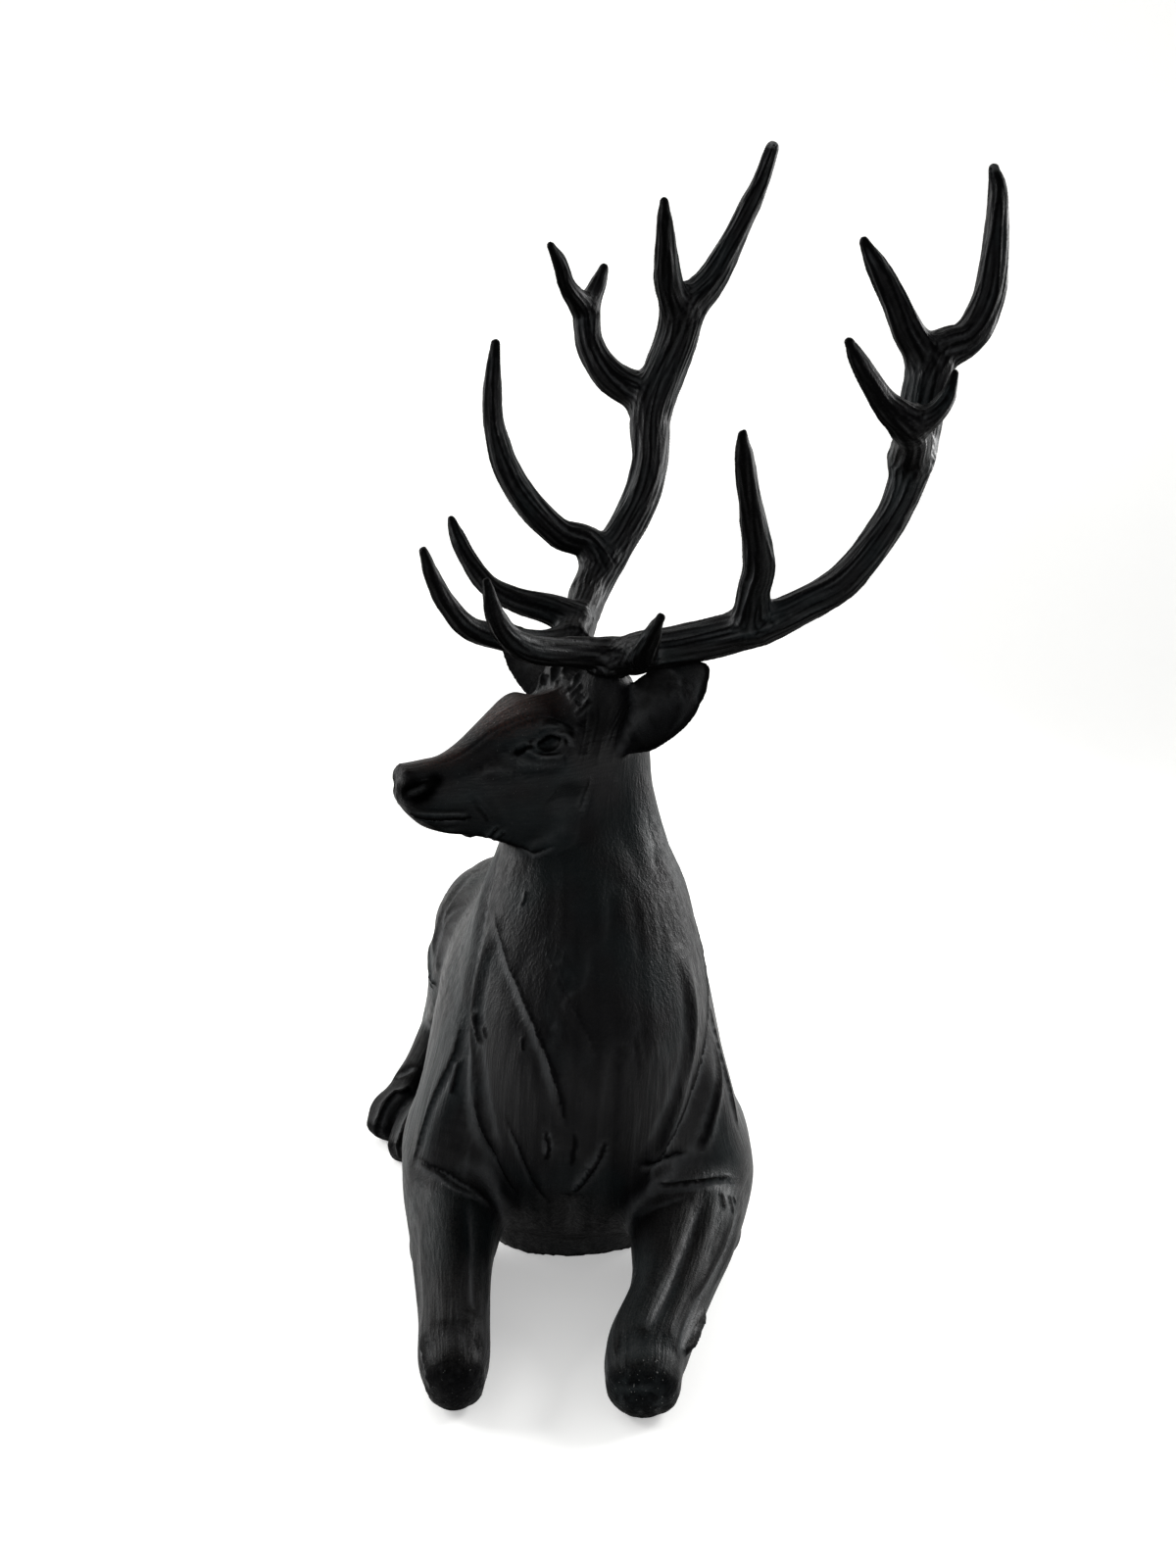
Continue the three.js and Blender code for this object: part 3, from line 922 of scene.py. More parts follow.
both_sides(FACE)
stag.settle(1)
both_sides(LIDS)
NOSE_SPLIT = [[0, -272, -134], [0, -274, -150], [0, -264, -172]]
stag.stroke(NOSE_SPLIT, 7, 1.5, frame_of=HEAD)

# The hair on the temples hangs in locks from under the antler to behind the eye. Sines make them
# uneven in place, length and width.
LOCKS = 9
for lock in range(LOCKS):
    back = 7 * lock + 3 * math.sin(5 * lock)  # mm behind the first one
    end = -104 - 22 * math.sin(2.2 * lock) ** 2
    line = [[48, -30 + back, -30], [60, -38 + back, -62], [65, -41 + back, -86], [68, -46 + back, end]]
    both_sides([("groove", 5.5 + 2 * math.cos(3 * lock), 1.3, line)])
CROWN = [  # tufts and knobs in front of the burrs
    ("ridge", 11, 5, [[14, -34, -34], [24, -18, -22], [30, -4, -14]]),
    ("ridge", 9, 4, [[4, -22, -30], [8, -6, -22], [10, 8, -20]]),
    ("ridge", 10, 5, [[40, -38, -46], [44, -26, -34]]),
    ("groove", 7, 4, [[20, -40, -42], [30, -24, -30], [36, -12, -24]]),
    ("groove", 6, 3, [[8, -44, -38], [16, -24, -32], [20, -4, -24]]),
    ("slit", 6, 4, [[46, -44, -58], [50, -32, -44], [54, -22, -34]]),
]
both_sides(CROWN)
both_sides([("ledge", 16, 5, JAW_EDGE)])
print("face:", 2 * (len(FACE) + len(LIDS) + LOCKS + len(CROWN) + 1) + 1, "strokes")

# %% [markdown]
# ## Mane, breast and legs
#
# The mane hangs in a few long folds that lie over each other and point down to the keel of the
# breast, and there the modeller let the tool dig in. The forelegs are cut in planes that meet in
# long edges. The haunch is a smooth plane that ends in a curved edge over the shank.

# %% Strokes on the body: kind, width, depth, points in the body's frame, 1 if a ledge's left is raised
BODY = [
    # the right edge of the mane, and its folds
    ("crest", 30, 9, [
        [-84, 14, 590], [-98, -2, 545], [-122, -38, 470],
        [-138, -55, 400], [-146, -85, 330], [-140, -110, 270],
    ], 0),
    ("groove", 20, 8, [
        [-96, -62, 520], [-116, -72, 450], [-128, -90, 380],
        [-132, -108, 320], [-124, -126, 250], [-112, -140, 205],
    ], 0),
    ("ledge", 34, 8, [
        [-108, -45, 525], [-96, -100, 475], [-76, -138, 432],
        [-52, -168, 385], [-30, -182, 330], [-16, -186, 270],
    ], 1),
    ("ledge", 26, 6, [
        [-150, -50, 372], [-160, -72, 325], [-176, -78, 268],
        [-190, -80, 215], [-200, -78, 172],
    ], 0),
    ("ledge", 26, 4, [[-136, -110, 290], [-124, -128, 235], [-105, -142, 185], [-80, -150, 150]], 1),
    ("ledge", 24, 3, [[-96, -150, 275], [-80, -164, 230], [-58, -168, 180], [-36, -168, 140]], 1),
    # nicks beside them
    ("groove", 9, 4, [[-154, -78, 325], [-157, -86, 300], [-158, -92, 275]], 0),
    ("slit", 7, 5, [[-122, -92, 392], [-122, -102, 372], [-120, -110, 350]], 0),
    ("groove", 5, 3, [[-112, -104, 380], [-110, -112, 360]], 0),
    ("groove", 4, 3, [[-70, -160, 384], [-71, -162, 372], [-68, -164, 360]], 0),
    ("groove", 4, 2.5, [[-76, -90, 566], [-76, -96, 552], [-81, -96, 543]], 0),
    # the left edge of the mane, and its folds
    ("ledge", 34, 9, [
        [166, -10, 500], [176, -30, 430], [172, -66, 360],
        [150, -120, 285], [118, -160, 215], [90, -170, 180],
    ], 0),
    ("groove", 22, 8, [
        [132, -84, 470], [140, -108, 400], [134, -136, 320],
        [112, -160, 250], [84, -176, 200],
    ], 0),
    ("ledge", 28, 6, [[196, -30, 372], [206, -50, 320], [216, -70, 260], [222, -82, 205]], 1),
    ("groove", 12, 5, [[188, -46, 340], [190, -70, 290], [178, -100, 235], [165, -120, 195]], 0),
    # the middle of the breast, and the cuts over its keel
    ("ledge", 30, 1.2, [[-50, -140, 500], [-26, -166, 450], [4, -188, 400], [22, -196, 360]], 1),
    ("slit", 4, 6, [[34, -196, 250], [18, -194, 215], [2, -186, 185], [-10, -180, 168]], 0),
    ("slit", 4, 5, [[-46, -186, 262], [-43, -188, 240], [-45, -186, 216]], 0),
    ("groove", 5, 2, [[-8, -196, 262], [-10, -196, 235], [-14, -192, 210]], 0),
    ("crest", 50, 10, [[-10, -184, 165], [-10, -150, 110], [0, -90, 50]], 0),
    # where the forelegs meet the breast
    ("ledge", 22, 6, [[80, -178, 208], [110, -176, 200], [135, -166, 196], [160, -152, 200]], 1),
    ("slit", 5, 4, [[-214, -92, 184], [-186, -122, 182], [-160, -138, 172], [-132, -142, 150]], 0),
    ("ledge", 26, 7, [[-216, -80, 186], [-180, -120, 184], [-146, -136, 166], [-112, -142, 134]], 1),
    ("slit", 5, 5, [[104, -160, 168], [140, -156, 168], [176, -150, 168], [214, -130, 160]], 0),
    ("ledge", 28, 5, [[104, -160, 168], [140, -156, 168], [176, -150, 168], [214, -130, 160]], 1),
    ("crest", 12, 3, [[150, -168, 158], [116, -176, 148], [78, -172, 126]], 0),
    # the long edges of the forelegs
    ("crest", 34, 10, [[-144, -150, 150], [-140, -210, 130], [-138, -275, 108], [-142, -325, 94]], 0),
    ("crest", 26, 5, [[-206, -130, 130], [-206, -200, 106], [-204, -270, 82], [-204, -320, 66]], 0),
    ("crest", 30, 11, [[170, -160, 158], [126, -250, 128], [92, -325, 108], [62, -380, 90]], 0),
    ("groove", 22, 4, [[196, -150, 130], [156, -240, 100], [116, -320, 82]], 0),
    ("crest", 18, 6, [[224, -136, 126], [178, -235, 94], [122, -340, 80], [88, -392, 60]], 0),
    ("slit", 8, 9, [[146, -296, 66], [126, -342, 62], [104, -382, 56]], 0),
    # tooth marks on the left forearm
    ("groove", 7, 3, [[186, -156, 150], [184, -160, 138], [176, -172, 126]], 0),
    ("groove", 6, 3, [[198, -150, 146], [196, -156, 134], [190, -166, 122]], 0),
    ("groove", 5, 2.5, [[206, -146, 142], [204, -152, 130]], 0),
    # the knees
    ("ridge", 26, 5, [[-196, -352, 70], [-180, -362, 84], [-160, -364, 86], [-140, -360, 74]], 0),
    ("ledge", 24, 5, [[-206, -335, 70], [-200, -375, 62], [-194, -398, 42]], 1),
    ("ridge", 26, 5, [[30, -384, 70], [48, -398, 84], [68, -398, 86], [90, -384, 74]], 0),
    # the haunch and the stifle
    ("crest", 22, 6, [[-105, 545, 408], [-140, 470, 384], [-165, 420, 340], [-178, 405, 280]], 0),
    ("groove", 18, 5, [[-176, 470, 320], [-184, 450, 290], [-182, 430, 262]], 0),
    ("slit", 5, 5, [[-186, 440, 268], [-184, 424, 262], [-180, 408, 262]], 0),
    ("groove", 5, 3, [[-184, 452, 252], [-182, 430, 248]], 0),
    # the cloven hooves and the dewclaws
    ("slit", 6, 9, [[-246, 398, 84], [-258, 384, 62], [-270, 372, 34], [-274, 366, 12]], 0),
    ("slit", 6, 9, [[-206, 356, 84], [-218, 334, 70], [-232, 306, 42], [-240, 290, 14]], 0),
    ("groove", 8, 5, [[-224, 400, 96], [-236, 392, 84], [-250, 398, 70]], 0),
    ("groove", 8, 5, [[-188, 360, 92], [-198, 344, 78], [-206, 338, 54]], 0),
    ("ridge", 12, 6, [[-222, 452, 96], [-228, 440, 90], [-238, 430, 80]], 0),
    # the fore hooves, folded under
    ("slit", 6, 8, [[-192, -40, 60], [-194, 0, 46], [-196, 40, 18]], 0),
    ("slit", 6, 8, [[208, -50, 84], [214, -12, 66], [220, 20, 34]], 0),
]
for kind, width, depth, line, left_raised in BODY:
    stag.stroke(line, width, depth, kind, flip=(kind == "ledge" and not left_raised))
stag.settle(2)
print("body:", len(BODY), "strokes")

# %% [markdown]
# ## Combed clay
#
# Under the strokes, the whole skin was combed with a toothed tool along each limb. That is noise
# drawn out along the limb: each point is given its place across and along the nearest spine, and
# a noise is read there that changes quickly across and slowly along. Where two limbs meet, their
# readings are blended by nearness, so no seam shows.


# %% Combed noise
def lattice_noise(places, seed):
    """Smooth noise from -1 to 1: random values at whole numbers, eased from each to the next.

    The large odd numbers only mix the bits of a place and the seed into a random-looking value.
    """
    cell = np.floor(places).astype(np.int64)
    ease = places - cell
    ease = ease * ease * (3 - 2 * ease)
    total = np.zeros(len(places))
    for corner in np.ndindex(2, 2, 2):
        x, y, z = (cell + corner).T
        mix = (x * 73856093 ^ y * 19349663 ^ z * 83492791 ^ seed * 961748927) & 0xFFFFFFFF
        mix = ((mix ^ (mix >> 15)) * 2246822519) & 0xFFFFFFFF
        mix = ((mix ^ (mix >> 13)) * 3266489917) & 0xFFFFFFFF
        value = (mix ^ (mix >> 16)) / 2**31 - 1
        total += value * np.prod(np.where(corner, ease, 1 - ease), axis=1)
    return total


FAR_FROM_SPINE = 1.7  # times its girth: no point further out follows a spine


def along_limbs(points, spines):
    """For each spine, the points near it with their places across and along, and their weights."""
    for spine in spines:
        middle, girth = spine["middle"], spine["girth"]
        reach = FAR_FROM_SPINE * girth.max()
        low, high = middle.min(0) - reach, middle.max(0) + reach
        chosen = np.where(((points > low) & (points < high)).all(1))[0]
        station = np.empty(len(chosen), int)
        for block in range(0, len(chosen), BLOCK):
            part = points[chosen[block : block + BLOCK]]
            station[block : block + BLOCK] = ((part[:, None] - middle[None]) ** 2).sum(2).argmin(1)
        offset = points[chosen] - middle[station]
        side = (offset * spine["side"][station]).sum(1)
        rise = (offset * spine["rise"][station]).sum(1)
        run = (offset * spine["run"][station]).sum(1)
        length = np.concatenate([[0], np.cumsum(np.linalg.norm(np.diff(middle, axis=0), axis=1))])
        share = np.hypot(side / girth[station, 0], rise / girth[station, 1])
        share = np.hypot(share, 1.3 * run / girth[station].min(1))  # past its ends a limb soon lets go
        yield chosen, np.stack([side, rise, length[station] + run], 1), np.clip(share, 0.5, None) ** -8.0


def combed(points, spines, width, length, seed):
    """Noise as wide as one number of metres across the limbs, and as long as the other along them."""
    total, weights = np.zeros(len(points)), np.full(len(points), 1e-9)
    for number, (chosen, place, weight) in enumerate(along_limbs(points, spines)):
        noise = lattice_noise(place / [width, width, length] + 17.0 * number, seed)
        total[chosen] += noise * weight
        weights[chosen] += weight
    return total / weights


def limb_places(points, spines):
    """Each point's place across and along its own limb, and how surely it belongs to that limb.

    The limb's number is added, so that the streaks of two limbs don't match where they meet.
    """
    best, next_best = np.full(len(points), 1e-9), np.full(len(points), 1e-9)
    places = np.zeros((len(points), 3))
    for number, (chosen, place, weight) in enumerate(along_limbs(points, spines)):
        nearer = weight > best[chosen]
        next_best[chosen] = np.where(nearer, best[chosen], np.maximum(next_best[chosen], weight))
        best[chosen[nearer]] = weight[nearer]
        places[chosen[nearer]] = place[nearer] + number
    return places, np.clip(1 - next_best / best, 0, 1)


# %% Comb the body
COMB = 5 * MM  # one tooth
LOCK = 13 * MM
FOLD = 34 * MM
SLIP = 60 * MM  # the size of the places where the comb slid
folds = 1 - 2 * np.abs(combed(stag.points, spines, FOLD, 6 * FOLD, seed=3))
teeth = combed(stag.points, spines, COMB, 14 * COMB, seed=5)
patches = combed(stag.points, spines, SLIP, 2 * SLIP, seed=8)
press = np.clip(0.5 + 1.4 * patches, 0, 1)  # the comb bit in some places and slid over others
locks = 1 - 2 * np.abs(combed(stag.points, spines, LOCK, 10 * LOCK, seed=13))
relief = 1.3 * folds + 0.4 * locks * press + 0.5 * teeth * press  # mm

# The short hair of the face was left nearly smooth.
SMOOTH_MIDDLE, SMOOTH_RADII = [0, -150, -140], [90, 140, 110]
bare = np.clip(1.6 - np.linalg.norm((in_head(stag.points) - SMOOTH_MIDDLE) / SMOOTH_RADII, axis=1), 0, 1)
stag.points += stag.normals * (relief * (1 - 0.85 * bare) * MM)[:, None]
places, sure = limb_places(stag.points, spines)
stag.settle(0)
print("combed: teeth", COMB / MM, "mm, folds", FOLD / MM, "mm")

# %% [markdown]
# ## The paint
#
# The castings carry a thin satin black paint over sand-cast iron. What the eye gets from it is
# little colour and much surface: the grain of the sand, brushed streaks that run with the hair,
# a film of dust where rain leaves it, a rusty bloom on the forehead and the top of the nose, and
# white specks on the knees. Everything is worked out in the shader from the object's own
# coordinates and from what the modelling stores on each point: how high the comb left it, its
# place along its limb, so that streaks of a millimetre can follow the limbs, and whether it stands
# above its surroundings or below them. An image texture would need an unwrapped mesh, and would
# look soft close up.
# Light and shade are painted in as well: a painted highlight on the ridges, and painted shade in the hollows,
# on what faces down, under the burrs, on the temples and in the mouth, nostrils and eye corners.


# %% Small helpers for the shader
def noise(tree, where, size, detail=2.0):
    """Noise whose lumps are about so many metres across."""
    return add(tree, "ShaderNodeTexNoise", {"Vector": where, "Scale": 1 / size, "Detail": detail}).outputs[0]


def stored(tree, label, output="Fac"):
    """What the modelling stored on each point under this name."""
    return add(tree, "ShaderNodeAttribute", attribute_name=label).outputs[output]


def streaks(tree, width, length):
    """Noise drawn out along the limbs, as wide and as long as so many metres."""
    drawn_out = {0: stored(tree, "limb_place", "Vector"), 1: (1 / width, 1 / width, 1 / length)}
    place = add(tree, "ShaderNodeVectorMath", drawn_out, operation="MULTIPLY").outputs[0]
    return noise(tree, place, 1.0)


def stretch(tree, value, low, high, bottom=0.0, top=1.0):
    """Turns the range from low to high into the range from bottom to top."""
    inputs = {"Value": value, "From Min": low, "From Max": high, "To Min": bottom, "To Max": top}
    return add(tree, "ShaderNodeMapRange", inputs, clamp=True).outputs[0]


def times(tree, a, b):
    """One value times another."""
    return add(tree, "ShaderNodeMath", {0: a, 1: b}, operation="MULTIPLY").outputs[0]


def blend(tree, share, first, second):
    """The second colour over the first, by a share from 0 to 1."""
    return add(tree, "ShaderNodeMix", {0: share, 6: first, 7: second}, data_type="RGBA").outputs[2]


# %% Satin black paint on sand-cast iron
def painted_iron(name, rusts=False, chips=False):
    """The finish of one casting. Only the body rusts on its forehead, and only antler tips chip."""
    material, tree, shader = new_material(name)
    where = add(tree, "ShaderNodeTexCoord").outputs["Object"]
    comb, crest = stored(tree, "comb"), stored(tree, "crest")
    hair = streaks(tree, 0.0035, 0.09)
    sand = noise(tree, where, 0.0022, 4.0)

    # Satin black, with broad clouds that look cold and blue, and lighter where the comb left the clay
    # high.
    clouds = stretch(tree, noise(tree, where, 0.11), 0.48, 0.62)
    colour = blend(tree, clouds, linear("#08080a"), linear("#0a1113"))
    worn = times(tree, stretch(tree, comb, 0.05, 0.8), stretch(tree, hair, 0.4, 0.7, 0.0, 0.6))
    colour = blend(tree, worn, colour, linear("#1e2022"))

    # Ridges are lighter, partly from polish by hands and weather and partly as a painted highlight; hollows
    # get painted shade, near black.
    polish_and_painted_highlight = times(tree, stretch(tree, crest, 0.1, 0.9), 0.7)
    colour = blend(tree, polish_and_painted_highlight, colour, linear("#2c2e30"))
    sunk = stretch(tree, crest, -1.0, -0.12, 1.0, 0.0)
    colour = blend(tree, sunk, colour, linear("#030304"))

    # Dust lies on what faces up, thinner where the sand grain stands high.
    up = add(tree, "ShaderNodeSeparateXYZ", {0: add(tree, "ShaderNodeNewGeometry").outputs["Normal"]})
    settled = times(tree, stretch(tree, up.outputs[2], 0.35, 0.95), stretch(tree, sand, 0.35, 0.65, 0.0, 0.2))
    colour = blend(tree, settled, colour, linear("#3f3e3b"))

    if rusts:
        # Rust comes through in a fine speckle that grows denser towards the middle of its patch.
        mottle = stretch(tree, noise(tree, where, 0.0032, 4.0), 0.42, 0.6, 0.15, 0.85)
        colour = blend(tree, times(tree, stored(tree, "bloom"), mottle), colour, linear("#3b2620"))
        dots = stretch(tree, noise(tree, where, 0.0028, 1.0), 0.71, 0.77)
        colour = blend(tree, times(tree, stored(tree, "specks"), dots), colour, linear("#8a8b89"))
    if chips:
        # The tips have lost their paint down to grey iron.
        broken = stretch(tree, noise(tree, where, 0.006), 0.35, 0.5)
        chipped = times(tree, stored(tree, "bare"), broken)
        colour = blend(tree, chipped, colour, linear("#8a8b8c"))
        tree.links.new(chipped, shader.inputs["Metallic"])

    # Painted shade: what faces down is painted near black, and so are the mouth, nostrils, eye corners,
    # temples and the crown under the burrs.
    colour = blend(tree, stretch(tree, up.outputs[2], -0.7, 0.0), linear("#030303"), colour)
    shade_share = stored(tree, "painted_shade")
    colour = blend(tree, shade_share, colour, linear("#010101"))
    tree.links.new(colour, shader.inputs["Base Color"])

    # Satin, with duller streaks where the brush ran dry. The specular is lower in hollows, and nearly off on
    # undersides and wherever shade is painted, which keeps them from reflecting the pale floor.
    tree.links.new(stretch(tree, hair, 0.3, 0.7, 0.38, 0.6), shader.inputs["Roughness"])
    under = stretch(tree, up.outputs[2], -0.75, 0.1, 0.05, 1.0)
    shine = times(tree, under, stretch(tree, crest, -0.8, 0.6, 0.03, 0.22))
    shine = times(tree, shine, stretch(tree, shade_share, 0.0, 1.0, 1.0, 0.1))
    tree.links.new(shine, shader.inputs["Specular IOR Level"])

    # The sand of the mould shows everywhere, and the hair only where a point surely belongs to its limb.
    grain = add(tree, "ShaderNodeBump", {"Strength": 0.8, "Distance": 0.0009, "Height": sand})
    combing = times(tree, stored(tree, "limb_sure"), 0.8)
    relief = {"Strength": combing, "Distance": 0.0014, "Height": hair, "Normal": grain.outputs[0]}
    tree.links.new(add(tree, "ShaderNodeBump", relief).outputs[0], shader.inputs["Normal"])
    return material


# %% [markdown]
# ## Antlers
#
# An antler grows as a tube that branches, and its bark keeps the marks of the vessels that fed it:
# furrows that run along every tine and turn slowly round it. That is a shape with a rule, so a
# node tree makes it: a profile with uneven flutes is swept along each line, wider or thinner by
# the line's own radius, and turned a little on the way. Pearls, the small knobs of bone, sit round
# the burr at the foot. The tines are then melted together as the limbs were, because a crotch of
# an antler is webbed, not creased.

# %% Tables of the antlers: [x, y, z, radius] in the head's frame
ANTLERS = {
    "left": {
        "beam": [
            [40, 2, 8, 24],
            [86, 13, 38, 24],
            [124, 50, 57, 25],
            [184, 116, 98, 25],
            [218, 155, 133, 22],
            [247, 192, 176, 22],
            [266, 232, 262, 20],
            [263, 248, 342, 25],
            [240, 276, 440, 26],
            [256, 308, 472, 21],
            [255, 328, 506, 19],
            [245, 342, 548, 17],
            [215, 358, 630, 12],
            [198, 358, 664, 6],
        ],
        "brow": [
            [50, -2, 24, 20],
            [44, -48, 28, 20],
            [47, -99, 35, 18],
            [51, -140, 46, 17],
            [54, -174, 68, 14],
            [60, -199, 100, 11],
            [70, -220, 140, 5],
        ],
        "bez": [
            [88, 14, 36, 20],
            [128, -13, 51, 16],
            [175, -45, 93, 12],
            [230, -82, 137, 5],
        ],
        "trez": [
            [178, 112, 98, 23],
            [197, 90, 148, 20],
            [210, 76, 192, 19],
            [232, 20, 280, 13],
            [245, -9, 324, 10],
            [257, -30, 356, 5],
        ],
        "fork": [
            [240, 272, 436, 22],
            [224, 238, 473, 18],
            [212, 215, 507, 15],
            [200, 190, 540, 12],
            [190, 170, 566, 6],
        ],
        "crown": [
            [264, 244, 330, 24],
            [298, 200, 364, 23],
            [320, 156, 386, 21],
            [312, 123, 407, 15],
            [303, 82, 448, 10],
            [299, 66, 467, 5],
        ],
        "spur": [
            [318, 166, 380, 17],
            [340, 178, 396, 13],
            [345, 192, 418, 10],
            [344, 197, 444, 5],
        ],
    },
    "right": {
        "beam": [
            [-39, 6, 8, 24],
            [-66, 30, 17, 23],
            [-104, 64, 27, 24],
            [-151, 113, 52, 27],
            [-174, 189, 148, 25],
            [-199, 222, 208, 25],
            [-236, 243, 280, 29],
            [-238, 268, 365, 29],
            [-230, 274, 423, 28],
            [-213, 302, 476, 20],
            [-197, 338, 587, 13],
            [-193, 352, 650, 9],
        ],
        "brow": [
            [-44, 10, 12, 20],
            [-47, -45, 9, 18],
            [-53, -99, 20, 17],
            [-61, -148, 34, 15],
            [-67, -181, 65, 12],
            [-68, -206, 100, 10],
            [-69, -223, 135, 6],
        ],
        "bez": [
            [-76, 36, 24, 24],
            [-99, 3, 37, 20],
            [-132, -32, 42, 16],
            [-161, -56, 54, 14],
            [-190, -72, 80, 12],
            [-213, -82, 109, 10],
            [-228, -85, 130, 5],
        ],
        "trez": [
            [-156, 130, 74, 23],
            [-178, 112, 104, 23],
            [-193, 74, 115, 21],
            [-215, 34, 150, 20],
            [-235, 3, 194, 18],
            [-248, -17, 249, 14],
            [-252, -25, 303, 12],
            [-253, -27, 361, 6],
        ],
        "fork": [
            [-233, 268, 412, 22],
            [-226, 232, 456, 20],
            [-202, 192, 528, 12],
            [-184, 169, 565, 6],
        ],
        "crown": [
            [-258, 236, 296, 26],
            [-290, 198, 318, 23],
            [-314, 176, 356, 19],
            [-328, 169, 398, 18],
            [-317, 125, 433, 12],
            [-303, 97, 465, 10],
            [-294, 72, 488, 5],
        ],
        "spur": [
            [-328, 170, 402, 15],
            [-335, 191, 437, 11],
            [-341, 202, 458, 7],
        ],
    },
}
SEAM = 0.4  # mm between a burr and the pedicle under it


# %% The node tree of the bark
def bark_tree():
    """Sweeps a fluted profile along lines, with the lines' radius as its size."""
    tree = bpy.data.node_groups.new("antler_bark", "GeometryNodeTree")
    sockets = (
        ("Lines", "NodeSocketGeometry", None),
        ("Flutes", "NodeSocketFloat", 2.6),
        ("Flute depth", "NodeSocketFloat", 0.22),
        ("Twist", "NodeSocketFloat", 5.0),
        ("Lumps", "NodeSocketFloat", 0.0022),
        ("Seed", "NodeSocketFloat", 1.0),
        ("Iron", "NodeSocketMaterial", None),
    )
    for name, kind, value in sockets:
        socket = tree.interface.new_socket(name, in_out="INPUT", socket_type=kind)
        if value is not None:
            socket.default_value = value
    tree.interface.new_socket("Bark", in_out="OUTPUT", socket_type="NodeSocketGeometry")
    ask = add(tree, "NodeGroupInput").outputs

    circle = add(tree, "GeometryNodeCurvePrimitiveCircle", {"Resolution": 48, "Radius": 1.0})
    where = add(tree, "GeometryNodeInputPosition").outputs[0]
    flutes = add(
        tree, "ShaderNodeTexNoise",
        {"Vector": where, "W": ask["Seed"], "Scale": ask["Flutes"], "Detail": 2.0, "Roughness": 0.6},
        noise_dimensions="4D",
    )
    centred = add(tree, "ShaderNodeMath", {0: flutes.outputs[0], 1: 0.5}, operation="SUBTRACT")
    doubled = add(tree, "ShaderNodeMath", {0: centred.outputs[0], 1: 2.0}, operation="MULTIPLY")
    deep = add(tree, "ShaderNodeMath", {0: doubled.outputs[0], 1: ask["Flute depth"]}, operation="MULTIPLY")
    push = add(tree, "ShaderNodeVectorMath", {0: where, "Scale": deep.outputs[0]}, operation="SCALE")
    profile = add(tree, "GeometryNodeSetPosition", {"Geometry": circle.outputs[0], "Offset": push.outputs[0]})

    along = add(tree, "GeometryNodeSplineParameter").outputs["Length"]
    turn = add(tree, "ShaderNodeMath", {0: along, 1: ask["Twist"]}, operation="MULTIPLY")
    turned = add(tree, "GeometryNodeSetCurveTilt", {"Curve": ask["Lines"], "Tilt": turn.outputs[0]})
    radius = add(tree, "GeometryNodeInputRadius").outputs[0]
    swept = add(
        tree, "GeometryNodeCurveToMesh",
        {"Curve": turned.outputs[0], "Profile Curve": profile.outputs[0], "Scale": radius, "Fill Caps": True},
    )
    lumps = add(
        tree, "ShaderNodeTexNoise",
        {"W": ask["Seed"], "Scale": 28.0, "Detail": 3.0, "Roughness": 0.6}, noise_dimensions="4D",
    )
    level = add(tree, "ShaderNodeMath", {0: lumps.outputs[0], 1: 0.5}, operation="SUBTRACT")
    size = add(tree, "ShaderNodeMath", {0: ask["Lumps"], 1: 2.0}, operation="MULTIPLY")
    swell = add(tree, "ShaderNodeMath", {0: level.outputs[0], 1: size.outputs[0]}, operation="MULTIPLY")
    facing = add(tree, "GeometryNodeInputNormal").outputs[0]
    out = add(tree, "ShaderNodeVectorMath", {0: facing, "Scale": swell.outputs[0]}, operation="SCALE")
    lumpy = add(tree, "GeometryNodeSetPosition", {"Geometry": swept.outputs[0], "Offset": out.outputs[0]})
    real = add(tree, "GeometryNodeRealizeInstances", {"Geometry": lumpy.outputs[0]})
    done = add(tree, "GeometryNodeSetMaterial", {"Geometry": real.outputs[0], "Material": ask["Iron"]})
    add(tree, "NodeGroupOutput", {"Bark": done.outputs[0]})
    return tree


# %% The node tree of the pearls
def pearl_tree():
    """Small balls of uneven size, evenly spaced along a line."""
    tree = bpy.data.node_groups.new("burr_pearls", "GeometryNodeTree")
    sockets = (
        ("Lines", "NodeSocketGeometry", None),
        ("Pearls", "NodeSocketInt", 14),
        ("Pearl size", "NodeSocketFloat", 0.0075),
        ("Seed", "NodeSocketInt", 1),
        ("Iron", "NodeSocketMaterial", None),
    )
    for name, kind, value in sockets:
        socket = tree.interface.new_socket(name, in_out="INPUT", socket_type=kind)
        if value is not None:
            socket.default_value = value
    tree.interface.new_socket("Pearls", in_out="OUTPUT", socket_type="NodeSocketGeometry")
    ask = add(tree, "NodeGroupInput").outputs
    spots = add(tree, "GeometryNodeCurveToPoints", {"Curve": ask["Lines"], "Count": ask["Pearls"]})
    ball = add(tree, "GeometryNodeMeshIcoSphere", {"Radius": ask["Pearl size"], "Subdivisions": 3})
    size = add(
        tree, "FunctionNodeRandomValue", {2: 0.7, 3: 1.35, "Seed": ask["Seed"]}, data_type="FLOAT"
    )
    balls = add(
        tree, "GeometryNodeInstanceOnPoints",
        {"Points": spots.outputs[0], "Instance": ball.outputs[0], "Scale": size.outputs[1]},
    )
    real = add(tree, "GeometryNodeRealizeInstances", {"Geometry": balls.outputs[0]})
    done = add(tree, "GeometryNodeSetMaterial", {"Geometry": real.outputs[0], "Material": ask["Iron"]})
    add(tree, "NodeGroupOutput", {"Pearls": done.outputs[0]})
    return tree


